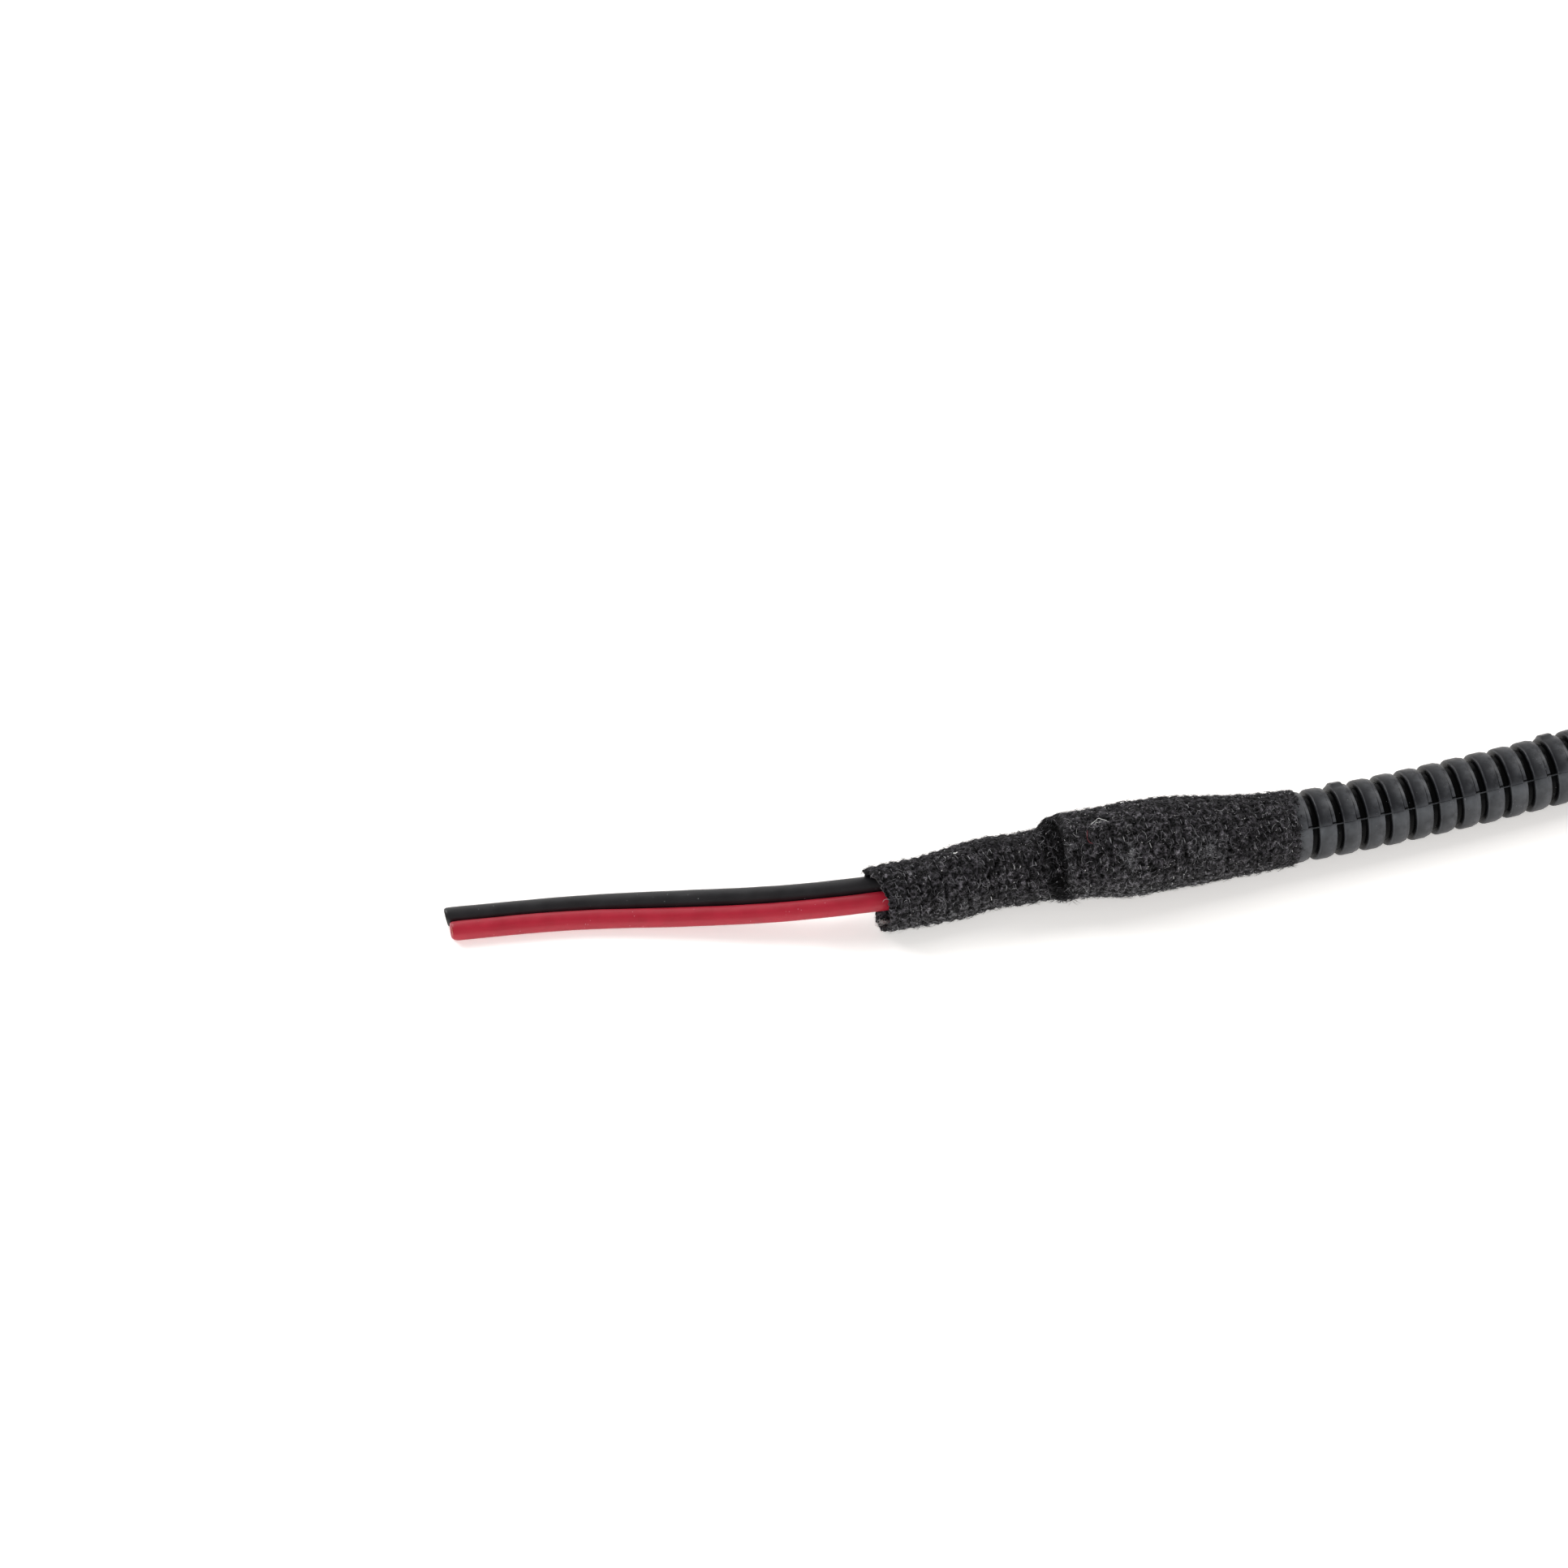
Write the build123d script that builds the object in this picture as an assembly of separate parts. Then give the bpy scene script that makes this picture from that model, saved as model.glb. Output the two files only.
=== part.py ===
"""Two-core wiring lead: two flush-cut wires, a fleece tape wrap, corrugated conduit and a sealed two-way connector.

Frame: millimetres, +Z up. The lead lies on the plane Z = 0, and the origin is the middle of its footprint.
The wire tails lie at -X and the connector points along +Y.
"""

import os
from math import pi, radians, tan

from build123d import *

# ---------------------------------------------------------------- driving dimensions
WIRE_RADIUS = 1.35
CONDUCTOR_RADIUS = 1.0
WIRE_SIDE_STEP = 1.4  # each wire's distance from the conduit's axis

CONDUIT_RADIUS = 5.0
CONDUIT_BORE_RADIUS = 3.6
TAPE_WALL = 0.45

ARC_SHARE = 0.45  # share of the shorter run that each bend may use

# The routes run from the cut ends of the wires to the connector. Each point is (x, y, z).
RED_TAIL = [
    (-107.6, -72.75, 1.4),
    (-98.3, -71.3, 1.4),
    (-87.8, -70.3, 1.4),
    (-75.9, -70.5, 1.9),
    (-64, -70.95, 3.1),
    (-53.5, -70.5, 4.05),
    (-42.1, -68.95, 4.75),
    (-32.1, -66.5, 5.6),
]
BLACK_TAIL = [
    (-108.4, -70.1, 1.55),
    (-98.3, -68.5, 1.4),
    (-87.8, -67.55, 1.7),
    (-75.9, -67.9, 2.75),
    (-64, -68.3, 3.8),
    (-53.5, -67.85, 4.75),
    (-42.1, -66.2, 5.45),
    (-32.1, -63.8, 6.2),
]
CONDUIT_ROUTE = [
    (-24.2, -63.55, 6.5),
    (-12.2, -61.65, 6.75),
    (1.9, -58.35, 5.95),
    (18, -53.7, 5.05),
    (50.5, -42.8, 5),
    (68.5, -33.9, 5),
    (82.9, -21.7, 5.2),
    (92.9, -5.3, 6.1),
    (97.5, 13.1, 7.5),
    (97.5, 30.1, 7.5),
]

# Tape wraps: (x, y, z, outer radius) of round sections along the wrap.
WIRE_WRAP = [
    (-49, -69.7, 4.75, 4.75),
    (-38.1, -67.1, 5.2, 5.2),
    (-28.8, -64.4, 5.4, 5.3),
    (-24.2, -63.55, 6.4, 5.35),
]
CONDUIT_WRAP = [
    (-26.6, -63.7, 6, 5.85),
    (-20.2, -63, 6.6, 6.6),
    (-9.7, -61, 6.7, 6.7),
    (1.4, -58.5, 5.9, 5.85),
    (9.4, -56.15, 5.45, 5.35),
]

# Connector: its axis runs along +Y through (AXIS_X, AXIS_Z). Lengths along the axis are Y positions.
AXIS_X = 97.5
AXIS_Z = 7.5
PIN_STEP = 3.0  # each terminal's distance from the connector's axis
WIRE_SPLAY_START = 26.0
WIRE_SPLAY_END = 37.0
INSULATION_END = 52.5
CONDUCTOR_END = 57.5

ADAPTER_START = 21.5
ADAPTER_NECK_END = 32.0
ADAPTER_BELL_START = 36.0
ADAPTER_END = 46.6
ADAPTER_NECK_RADIUS = 7.2
ADAPTER_BELL = (20.4, 15.0, 5.5)  # width, height, corner radius
ADAPTER_CAVITY = (16.4, 11.4, 4.0)
ADAPTER_LIP_BORE = (15.3, 10.5, 3.6)
ADAPTER_GROOVE = (17.7, 12.9, 4.6)
ADAPTER_GROOVE_START = 42.1
ADAPTER_GROOVE_END = 44.7
COVER_GAP = 0.15  # between the two adapter halves
COVER_BORE_RADIUS = 5.3

HINGE_X = 85.6
HINGE_RADIUS = 1.5
HINGE_PIN_RADIUS = 0.7
HINGE_BORE_RADIUS = 0.75
HINGE_START = 35.6
HINGE_KNUCKLE = 2.6
HINGE_END = 45.6
KNUCKLE_GAP = 0.3

HOUSING_START = 41.5
SPIGOT = (14.7, 9.9, 3.3)
FLANGE = (17.1, 12.3, 4.3)
FLANGE_START = 42.4
FLANGE_END = 44.4
COLLAR = (17.4, 13.8, 3.0)
COLLAR_START = 47.0
COLLAR_END = 60.0
NOSE = (14.4, 10.0, 2.6)
NOSE_END = 73.0
SEAL_BORE_RADIUS = 2.6
SEAL_BORE_END = 50.5
CAVITY_SIDE = 3.4
CAVITY_FRONT_SIDE = 3.0
CAVITY_STEP = 61.0
CONTACT_Z = 7.15  # middle height of the contact boxes

RAIL_OUTER = 7.0  # guard rail's outer face, from the connector's axis
RAIL_THICKNESS = 1.6
RAIL_TOP = 18.0
RAIL_START = 48.0
RAIL_END = 60.0
LATCH_WIDTH = 8.6
LATCH_BOTTOM = 15.4
LATCH_THICKNESS = 1.6
LATCH_START = 47.4
LATCH_END = 71.0
LATCH_PIVOT_Y = 57.0
LATCH_PIVOT_RADIUS = 0.85
LATCH_BORE_RADIUS = 0.92

LOCK_THICKNESS = 1.8
LOCK_LEG_LENGTH = 6.0


# ---------------------------------------------------------------- routes and tubes
def bend_radii(points):
    """The largest arc that each inner point's two runs allow."""
    radii = []
    for before, here, after in zip(points, points[1:], points[2:]):
        run_in = Vector(*here) - Vector(*before)
        run_out = Vector(*after) - Vector(*here)
        half_turn = radians(run_in.get_angle(run_out)) / 2
        radii.append(ARC_SHARE * min(run_in.length, run_out.length) / tan(half_turn))
    return radii


def side_route(points, offset):
    """The route moved sideways in plan: a positive offset is to the left of the direction of travel."""
    moved = []
    for index, point in enumerate(points):
        before = Vector(*points[max(index - 1, 0)])
        after = Vector(*points[min(index + 1, len(points) - 1)])
        along = after - before
        left = Vector(-along.Y, along.X, 0).normalized()
        place = Vector(*point) + left * offset
        moved.append((place.X, place.Y, place.Z))
    return moved


def smooth_path(points):
    return FilletPolyline(*points, radius=bend_radii(points))


def tube_along(name, points, outer, inner=0.0):
    """A round tube or rod along the route, with its bends and volume printed."""
    path = smooth_path(points)
    start = Plane(origin=path @ 0, z_dir=path % 0)
    section = Circle(outer)
    if inner > 0:
        section -= Circle(inner)
    tube = sweep(start * section, path=path)
    expected = pi * (outer**2 - inner**2) * path.length
    radii = " ".join(f"{radius:.0f}" for radius in bend_radii(points))
    print(f"{name}: length {path.length:.1f} volume {tube.volume:.1f} of {expected:.1f} radii {radii}")
    return tube


def wire_route(tail, side):
    """One wire: its tail, its side of the conduit, and the straight run into its terminal."""
    inside = side_route(CONDUIT_ROUTE[:-1], -side * WIRE_SIDE_STEP)
    splay = [
        (AXIS_X + side * WIRE_SIDE_STEP, WIRE_SPLAY_START, AXIS_Z),
        (AXIS_X + side * PIN_STEP, WIRE_SPLAY_END, AXIS_Z),
    ]
    return tail + inside + splay


def wire_pieces(colour, tail, side):
    """The insulation and the conductor of one wire."""
    route = wire_route(tail, side)
    sleeve = route + [(AXIS_X + side * PIN_STEP, INSULATION_END, AXIS_Z)]
    core = route + [(AXIS_X + side * PIN_STEP, CONDUCTOR_END, AXIS_Z)]
    return {
        f"{colour}_wire_insulation": tube_along(f"{colour} insulation", sleeve, WIRE_RADIUS, CONDUCTOR_RADIUS),
        f"{colour}_wire_conductor": tube_along(f"{colour} conductor", core, CONDUCTOR_RADIUS),
    }


# ---------------------------------------------------------------- tape wraps
def wrap_solid(stations, trim=0.0):
    """A round wrap through its stations, with each radius made smaller by trim."""
    sections = []
    for index, (x, y, z, radius) in enumerate(stations):
        before = Vector(*stations[max(index - 1, 0)][:3])
        after = Vector(*stations[min(index + 1, len(stations) - 1)][:3])
        sections.append(Plane(origin=(x, y, z), z_dir=after - before) * Circle(radius - trim))
    return loft(sections, ruled=True)


def make_tape():
    """The wrap on the bare wires, and the thicker wrap on the end of the conduit."""
    wire_wrap_outer = wrap_solid(WIRE_WRAP)
    conduit_rod = tube_along("conduit rod", CONDUIT_ROUTE[:5], CONDUIT_RADIUS)
    conduit_end, next_point = Vector(*CONDUIT_ROUTE[0]), Vector(*CONDUIT_ROUTE[1])
    mouth = Plane(origin=conduit_end, z_dir=next_point - conduit_end)
    passage = extrude(mouth * Circle(CONDUIT_BORE_RADIUS), amount=2.0, both=True)
    wire_wrap = wire_wrap_outer - wrap_solid(WIRE_WRAP, TAPE_WALL) - conduit_rod
    conduit_wrap = wrap_solid(CONDUIT_WRAP) - wire_wrap_outer - conduit_rod - passage
    return {"wire_tape_wrap": wire_wrap, "conduit_tape_wrap": conduit_wrap}


# ---------------------------------------------------------------- connector shapes
def across(y, x=AXIS_X, z=AXIS_Z):
    """A plane across the connector's axis, facing +Y."""
    return Plane(origin=(x, y, z), x_dir=(1, 0, 0), z_dir=(0, 1, 0))


def bar(size, start, end, x=AXIS_X, z=AXIS_Z):
    """A rounded bar along Y: size is width, height and corner radius."""
    return extrude(across(start, x, z) * RectangleRounded(*size), amount=end - start)


def rod(radius, start, end, x=AXIS_X, z=AXIS_Z):
    """A round rod along Y."""
    return extrude(across(start, x, z) * Circle(radius), amount=end - start)


def block(x, y, z):
    """A box from three (low, high) pairs."""
    centre = ((x[0] + x[1]) / 2, (y[0] + y[1]) / 2, (z[0] + z[1]) / 2)
    return Pos(*centre) * Box(x[1] - x[0], y[1] - y[0], z[1] - z[0])


def cross_pin(radius, x_low, x_high, y, z):
    """A round pin along X."""
    return Pos((x_low + x_high) / 2, y, z) * Rot(0, 90, 0) * Cylinder(radius, x_high - x_low)


def adapter_shell(bore_radius):
    """The whole adapter: a neck on the conduit that opens into a bell over the housing's rear flange."""
    neck_ring = (2 * ADAPTER_NECK_RADIUS, 2 * ADAPTER_NECK_RADIUS, ADAPTER_NECK_RADIUS - 0.01)
    outer = bar(neck_ring, ADAPTER_START, ADAPTER_NECK_END)
    outer += loft([
        across(ADAPTER_NECK_END) * RectangleRounded(*neck_ring),
        across(ADAPTER_BELL_START) * RectangleRounded(*ADAPTER_BELL),
    ])
    outer += bar(ADAPTER_BELL, ADAPTER_BELL_START, ADAPTER_END)
    for ring_start in (ADAPTER_START, ADAPTER_START + 4.2, ADAPTER_START + 8.4):
        outer += rod(ADAPTER_NECK_RADIUS + 0.3, ring_start, ring_start + 1.6)
    cavity_start = ADAPTER_NECK_END - 1.0
    inner = rod(bore_radius, ADAPTER_START, cavity_start)
    inner += loft([
        across(cavity_start) * RectangleRounded(9.6, 9.6, 4.7),
        across(ADAPTER_BELL_START + 1.0) * RectangleRounded(*ADAPTER_CAVITY),
    ])
    inner += bar(ADAPTER_CAVITY, ADAPTER_BELL_START + 1.0, ADAPTER_GROOVE_START)
    inner += bar(ADAPTER_GROOVE, ADAPTER_GROOVE_START, ADAPTER_GROOVE_END)
    inner += bar(ADAPTER_LIP_BORE, ADAPTER_GROOVE_END, ADAPTER_END)
    return outer - inner


def knuckle(start, end, bore):
    ring = rod(HINGE_RADIUS, start, end, HINGE_X)
    if bore:
        ring -= rod(HINGE_BORE_RADIUS, start, end, HINGE_X)
    return ring


def make_adapter():
    """Lower half with two hinge knuckles and a catch wedge, upper half with the hinge pin and a catch loop."""
    everywhere_x = (AXIS_X - 30, AXIS_X + 30)
    along = (ADAPTER_START - 1, ADAPTER_END + 1)
    wall_x = AXIS_X - ADAPTER_BELL[0] / 2
    catch_x = AXIS_X + ADAPTER_BELL[0] / 2
    first = (HINGE_START, HINGE_START + HINGE_KNUCKLE)
    last = (HINGE_END - HINGE_KNUCKLE, HINGE_END)
    middle = (first[1] + KNUCKLE_GAP, last[0] - KNUCKLE_GAP)

    base = adapter_shell(CONDUIT_RADIUS) & block(everywhere_x, along, (-1, AXIS_Z))
    for start, end in (first, last):
        web = block((HINGE_X, wall_x + 0.6), (start, end), (AXIS_Z - HINGE_RADIUS, AXIS_Z - 0.1))
        base += (knuckle(start, end, True) + web) - rod(HINGE_BORE_RADIUS, start, end, HINGE_X)
    wedge_profile = [(catch_x - 0.4, 6.6), (catch_x + 1.0, 5.2), (catch_x - 0.4, 5.2)]
    wedge = extrude(Plane(origin=(0, 39.2, 0), x_dir=(1, 0, 0), z_dir=(0, -1, 0))
                    * make_face(Polyline(*wedge_profile, close=True)), amount=-2.6)
    base += wedge

    cover = adapter_shell(COVER_BORE_RADIUS) & block(everywhere_x, along, (AXIS_Z + COVER_GAP, AXIS_Z + 12))
    web = block((HINGE_X, wall_x + 0.6), middle, (AXIS_Z + COVER_GAP, AXIS_Z + HINGE_RADIUS))
    cover += knuckle(*middle, False) + web
    cover += rod(HINGE_PIN_RADIUS, HINGE_START + 0.2, HINGE_END - 0.2, HINGE_X)
    loop_x = (catch_x + 0.25, catch_x + 2.2)
    loop = block(loop_x, (37.2, 43.8), (3.8, AXIS_Z + 2.0))
    loop += block((catch_x - 0.4, loop_x[1]), (37.2, 43.8), (AXIS_Z + COVER_GAP, AXIS_Z + 2.0))
    loop -= block((catch_x, catch_x + 1.25), (38.8, 42.2), (3.0, 7.2))
    loop -= block((catch_x, catch_x + 3.0), (38.8, 42.2), (4.9, 7.2))
    cover += loop
    for rib_y in (39.0, 41.0, 43.0):
        cover += block((AXIS_X - 4, AXIS_X + 4), (rib_y - 0.4, rib_y + 0.4), (14.6, 15.4))
    return {"adapter_base": base, "adapter_cover": cover}


def make_housing():
    """Spigot and flange for the adapter, a collar that carries the latch, and the nose that enters the socket."""
    collar_z = COLLAR[1] / 2
    body = bar(SPIGOT, HOUSING_START, COLLAR_START)
    body += bar(FLANGE, FLANGE_START, FLANGE_END)
    body += bar(NOSE, COLLAR_START, NOSE_END)
    collar = bar(COLLAR, COLLAR_START, COLLAR_END, z=collar_z)
    collar = fillet(collar.edges().filter_by(Axis.Y, reverse=True).group_by(Axis.Y)[0], 0.6)
    for side in (-1, 1):
        for grip_y in (49.6, 51.8, 54.0, 56.2):
            x = AXIS_X + side * COLLAR[0] / 2
            collar -= block((x - 0.35, x + 0.35), (grip_y - 0.5, grip_y + 0.5), (3.2, 10.6))
    body += collar
    for side in (-1, 1):
        outer = AXIS_X + side * RAIL_OUTER
        inner = outer - side * RAIL_THICKNESS
        rail = block((min(outer, inner), max(outer, inner)), (RAIL_START, RAIL_END), (COLLAR[1] - 1.5, RAIL_TOP))
        rail = fillet(rail.edges().filter_by(Axis.X).group_by(Axis.Z)[-1], 2.2)
        body += rail
        rib_x = AXIS_X + side * 4.2
        body += block((rib_x - 0.5, rib_x + 0.5), (COLLAR_END, 70.0), (1.2, 3.0))
    body -= cross_pin(LATCH_BORE_RADIUS, AXIS_X - 8, AXIS_X + 8, LATCH_PIVOT_Y, LATCH_BOTTOM + LATCH_THICKNESS / 2)
    for side in (-1, 1):
        x = AXIS_X + side * PIN_STEP
        body -= rod(SEAL_BORE_RADIUS, HOUSING_START, SEAL_BORE_END, x)
        body -= bar((CAVITY_SIDE, CAVITY_SIDE, 0.3), SEAL_BORE_END, CAVITY_STEP, x)
        body -= bar((CAVITY_FRONT_SIDE, CAVITY_FRONT_SIDE, 0.2), CAVITY_STEP, NOSE_END, x, CONTACT_Z)
        leg_x = AXIS_X + side * NOSE[0] / 2
        body -= block((leg_x - 1.3, leg_x + 1.3), (NOSE_END - LOCK_LEG_LENGTH - 0.4, NOSE_END), (5.4, 9.6))
    return {"connector_housing": body}


def make_latch():
    """A lever that rocks on two stub pins: a ribbed pad behind the pivot and a hook in front of it."""
    low = LATCH_BOTTOM
    top = low + LATCH_THICKNESS
    arm = block((AXIS_X - LATCH_WIDTH / 2, AXIS_X + LATCH_WIDTH / 2), (LATCH_START, LATCH_END), (low, top))
    arm -= block((AXIS_X - 1.8, AXIS_X + 1.8), (60.0, 68.2), (low - 1, top + 1))
    arm = fillet(arm.edges().filter_by(Axis.Z), 0.6)
    hook_profile = [(LATCH_END, low + 0.6), (LATCH_END - 2.4, low - 1.2), (LATCH_END - 2.6, low + 0.6)]
    hook_plane = Plane(origin=(AXIS_X - 2.6, 0, 0), x_dir=(0, 1, 0), z_dir=(1, 0, 0))
    arm += extrude(hook_plane * make_face(Polyline(*hook_profile, close=True)), amount=5.2)
    for ridge in range(4):
        y = LATCH_START + 0.8 + 1.4 * ridge
        arm += block((AXIS_X - 3.4, AXIS_X + 3.4), (y - 0.35, y + 0.35), (top - 0.2, top + 0.6))
    pin_z = (low + top) / 2
    arm += cross_pin(LATCH_PIVOT_RADIUS, AXIS_X - RAIL_OUTER + 0.2, AXIS_X + RAIL_OUTER - 0.2, LATCH_PIVOT_Y, pin_z)
    return {"latch_lever": arm}


def make_lock():
    """The front plate that blocks the terminals, with a leg down each side of the nose."""
    plate = bar(NOSE, NOSE_END + 0.1, NOSE_END + LOCK_THICKNESS)
    plate = fillet(plate.edges().group_by(Axis.Y)[-1], 0.5)
    for side in (-1, 1):
        leg_x = sorted((AXIS_X + side * (NOSE[0] / 2), AXIS_X + side * (NOSE[0] / 2 - 1.0)))
        plate += block(leg_x, (NOSE_END - LOCK_LEG_LENGTH, NOSE_END + 0.6), (5.8, 9.2))
        x = AXIS_X + side * PIN_STEP
        window = bar((2.1, 2.1, 0.2), NOSE_END, NOSE_END + LOCK_THICKNESS, x, CONTACT_Z)
        window += loft([
            across(NOSE_END + LOCK_THICKNESS - 0.7, x, CONTACT_Z) * Rectangle(2.1, 2.1),
            across(NOSE_END + LOCK_THICKNESS + 0.01, x, CONTACT_Z) * Rectangle(3.3, 3.3),
        ])
        plate -= window
    return {"front_lock": plate}


def make_seals():
    """The ring round the nose, and a small ribbed seal on each wire."""
    ring = bar((NOSE[0] + 1.6, NOSE[1] + 1.6, NOSE[2] + 0.8), COLLAR_END, COLLAR_END + 4.6)
    for lip_y in (COLLAR_END + 0.6, COLLAR_END + 2.9):
        lip = bar((NOSE[0] + 2.8, NOSE[1] + 2.8, NOSE[2] + 1.4), lip_y, lip_y + 1.1)
        ring += fillet(lip.edges().filter_by(Axis.Y, reverse=True), 0.45)
    ring -= bar(NOSE, COLLAR_END, COLLAR_END + 4.6)
    for side in (-1, 1):
        rib_x = AXIS_X + side * 4.2
        ring -= block((rib_x - 0.5, rib_x + 0.5), (COLLAR_END, 70.0), (1.2, 3.0))
    pieces = {"interface_seal": ring}
    for colour, side in (("black", -1), ("red", 1)):
        x = AXIS_X + side * PIN_STEP
        seal = rod(2.1, 42.0, 49.6, x)
        for lip_y in (42.6, 44.4, 46.2):
            lip = rod(SEAL_BORE_RADIUS, lip_y, lip_y + 0.9, x)
            seal += fillet(lip.edges().filter_by(GeomType.CIRCLE), 0.35)
        pieces[f"{colour}_wire_seal"] = seal - rod(WIRE_RADIUS, 42.0, 49.6, x)
    return pieces


def make_terminals():
    """Crimped socket terminals: two crimp barrels, a floor strip and a square contact box with a steel cage."""
    pieces = {}
    for colour, side in (("black", -1), ("red", 1)):
        x = AXIS_X + side * PIN_STEP
        floor_z = AXIS_Z - WIRE_RADIUS - 0.25
        terminal = rod(WIRE_RADIUS + 0.25, 50.7, 52.4, x)
        terminal += block((x - 0.7, x + 0.7), (50.7, 62.5), (floor_z, floor_z + 0.25))
        terminal += rod(CONDUCTOR_RADIUS + 0.25, 54.0, 57.3, x)
        terminal += block((x - 0.35, x + 0.35), (54.0, 57.3), (floor_z, AXIS_Z - CONDUCTOR_RADIUS))
        terminal -= rod(WIRE_RADIUS, 50.7, INSULATION_END, x)
        terminal -= rod(CONDUCTOR_RADIUS, INSULATION_END, CONDUCTOR_END, x)
        box = bar((2.3, 2.5, 0.3), 61.5, 72.0, x, CONTACT_Z)
        terminal += box - bar((1.8, 1.9, 0.2), 61.5, 72.0, x, CONTACT_Z)
        pieces[f"{colour}_terminal"] = terminal
        cage = bar((2.7, 2.86, 0.35), 64.0, 71.0, x, CONTACT_Z) - bar((2.3, 2.5, 0.3), 64.0, 71.0, x, CONTACT_Z)
        cage -= block((x - 0.6, x + 0.6), (65.4, 69.0), (AXIS_Z, AXIS_Z + 4))
        pieces[f"{colour}_terminal_cage"] = cage
    return pieces


def make_lead():
    pieces = {}
    pieces.update(wire_pieces("red", RED_TAIL, 1))
    pieces.update(wire_pieces("black", BLACK_TAIL, -1))
    pieces["corrugated_conduit"] = tube_along("conduit", CONDUIT_ROUTE, CONDUIT_RADIUS, CONDUIT_BORE_RADIUS)
    pieces.update(make_tape())
    pieces.update(make_adapter())
    pieces.update(make_housing())
    pieces.update(make_latch())
    pieces.update(make_lock())
    pieces.update(make_seals())
    pieces.update(make_terminals())
    return pieces


os.makedirs("parts", exist_ok=True)
for node, solid in make_lead().items():
    export_step(solid, f"parts/{node}.step")
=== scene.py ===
"""Looks of the two-core wiring lead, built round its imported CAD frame. Metres, +Z up."""

import math
import random

import bpy
import numpy as np
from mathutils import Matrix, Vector, noise


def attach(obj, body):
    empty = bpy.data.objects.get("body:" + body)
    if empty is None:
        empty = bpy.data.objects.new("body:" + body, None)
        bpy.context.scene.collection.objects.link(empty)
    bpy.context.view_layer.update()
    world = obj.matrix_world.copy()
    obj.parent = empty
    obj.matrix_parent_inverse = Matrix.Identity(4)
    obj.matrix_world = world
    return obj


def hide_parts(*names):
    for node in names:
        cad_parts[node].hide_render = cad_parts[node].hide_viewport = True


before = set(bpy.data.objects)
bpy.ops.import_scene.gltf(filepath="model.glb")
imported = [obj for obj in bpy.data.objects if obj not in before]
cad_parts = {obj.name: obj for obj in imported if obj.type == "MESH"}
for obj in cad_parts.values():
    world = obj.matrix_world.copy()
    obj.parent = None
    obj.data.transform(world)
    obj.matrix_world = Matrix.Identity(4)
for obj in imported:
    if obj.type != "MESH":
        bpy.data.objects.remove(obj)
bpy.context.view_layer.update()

MM = 0.001

# ---- camera
VIEW_TARGET = Vector((-0.062, -0.0415, 0.0))
VIEW_DISTANCE = 0.85
VIEW_ELEVATION = math.radians(43)
VIEW_WIDTH = 0.2221  # width seen at the target
SENSOR_WIDTH = 36.0


def place_object(name, data):
    placed = bpy.data.objects.new(name, data)
    bpy.context.scene.collection.objects.link(placed)
    return placed


def make_camera():
    data = bpy.data.cameras.new("camera")
    data.sensor_width = SENSOR_WIDTH
    data.lens = SENSOR_WIDTH * VIEW_DISTANCE / VIEW_WIDTH
    camera = place_object("camera", data)
    back = Vector((0, -math.cos(VIEW_ELEVATION), math.sin(VIEW_ELEVATION)))
    camera.location = VIEW_TARGET + back * VIEW_DISTANCE
    camera.rotation_euler = (-back).to_track_quat("-Z", "Y").to_euler()
    bpy.context.scene.camera = camera


make_camera()

# ---- routes, the same points as the CAD tubes
WIRE_RADIUS = 0.00135
WIRE_SIDE_STEP = 0.0014
CONDUIT_RADIUS = 0.005

RED_TAIL = [
    (-0.1076, -0.07275, 0.0014),
    (-0.0983, -0.0713, 0.0014),
    (-0.0878, -0.0703, 0.0014),
    (-0.0759, -0.0705, 0.0019),
    (-0.064, -0.07095, 0.0031),
    (-0.0535, -0.0705, 0.00405),
    (-0.0421, -0.06895, 0.00475),
    (-0.0321, -0.0665, 0.0056),
]
BLACK_TAIL = [
    (-0.1084, -0.0701, 0.00155),
    (-0.0983, -0.0685, 0.0014),
    (-0.0878, -0.06755, 0.0017),
    (-0.0759, -0.0679, 0.00275),
    (-0.064, -0.0683, 0.0038),
    (-0.0535, -0.06785, 0.00475),
    (-0.0421, -0.0662, 0.00545),
    (-0.0321, -0.0638, 0.0062),
]
CONDUIT_ROUTE = [
    (-0.0242, -0.06355, 0.0065),
    (-0.0122, -0.06165, 0.00675),
    (0.0019, -0.05835, 0.00595),
    (0.018, -0.0537, 0.00505),
    (0.0505, -0.0428, 0.005),
    (0.0685, -0.0339, 0.005),
    (0.0829, -0.0217, 0.0052),
    (0.0929, -0.0053, 0.0061),
    (0.0975, 0.0131, 0.0075),
    (0.0975, 0.0301, 0.0075),
]
AXIS_X = 0.0975
AXIS_Z = 0.0075
PIN_STEP = 0.0030
WIRE_SPLAY_START = 0.0260
WIRE_SPLAY_END = 0.0370
INSULATION_END = 0.0525

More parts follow.
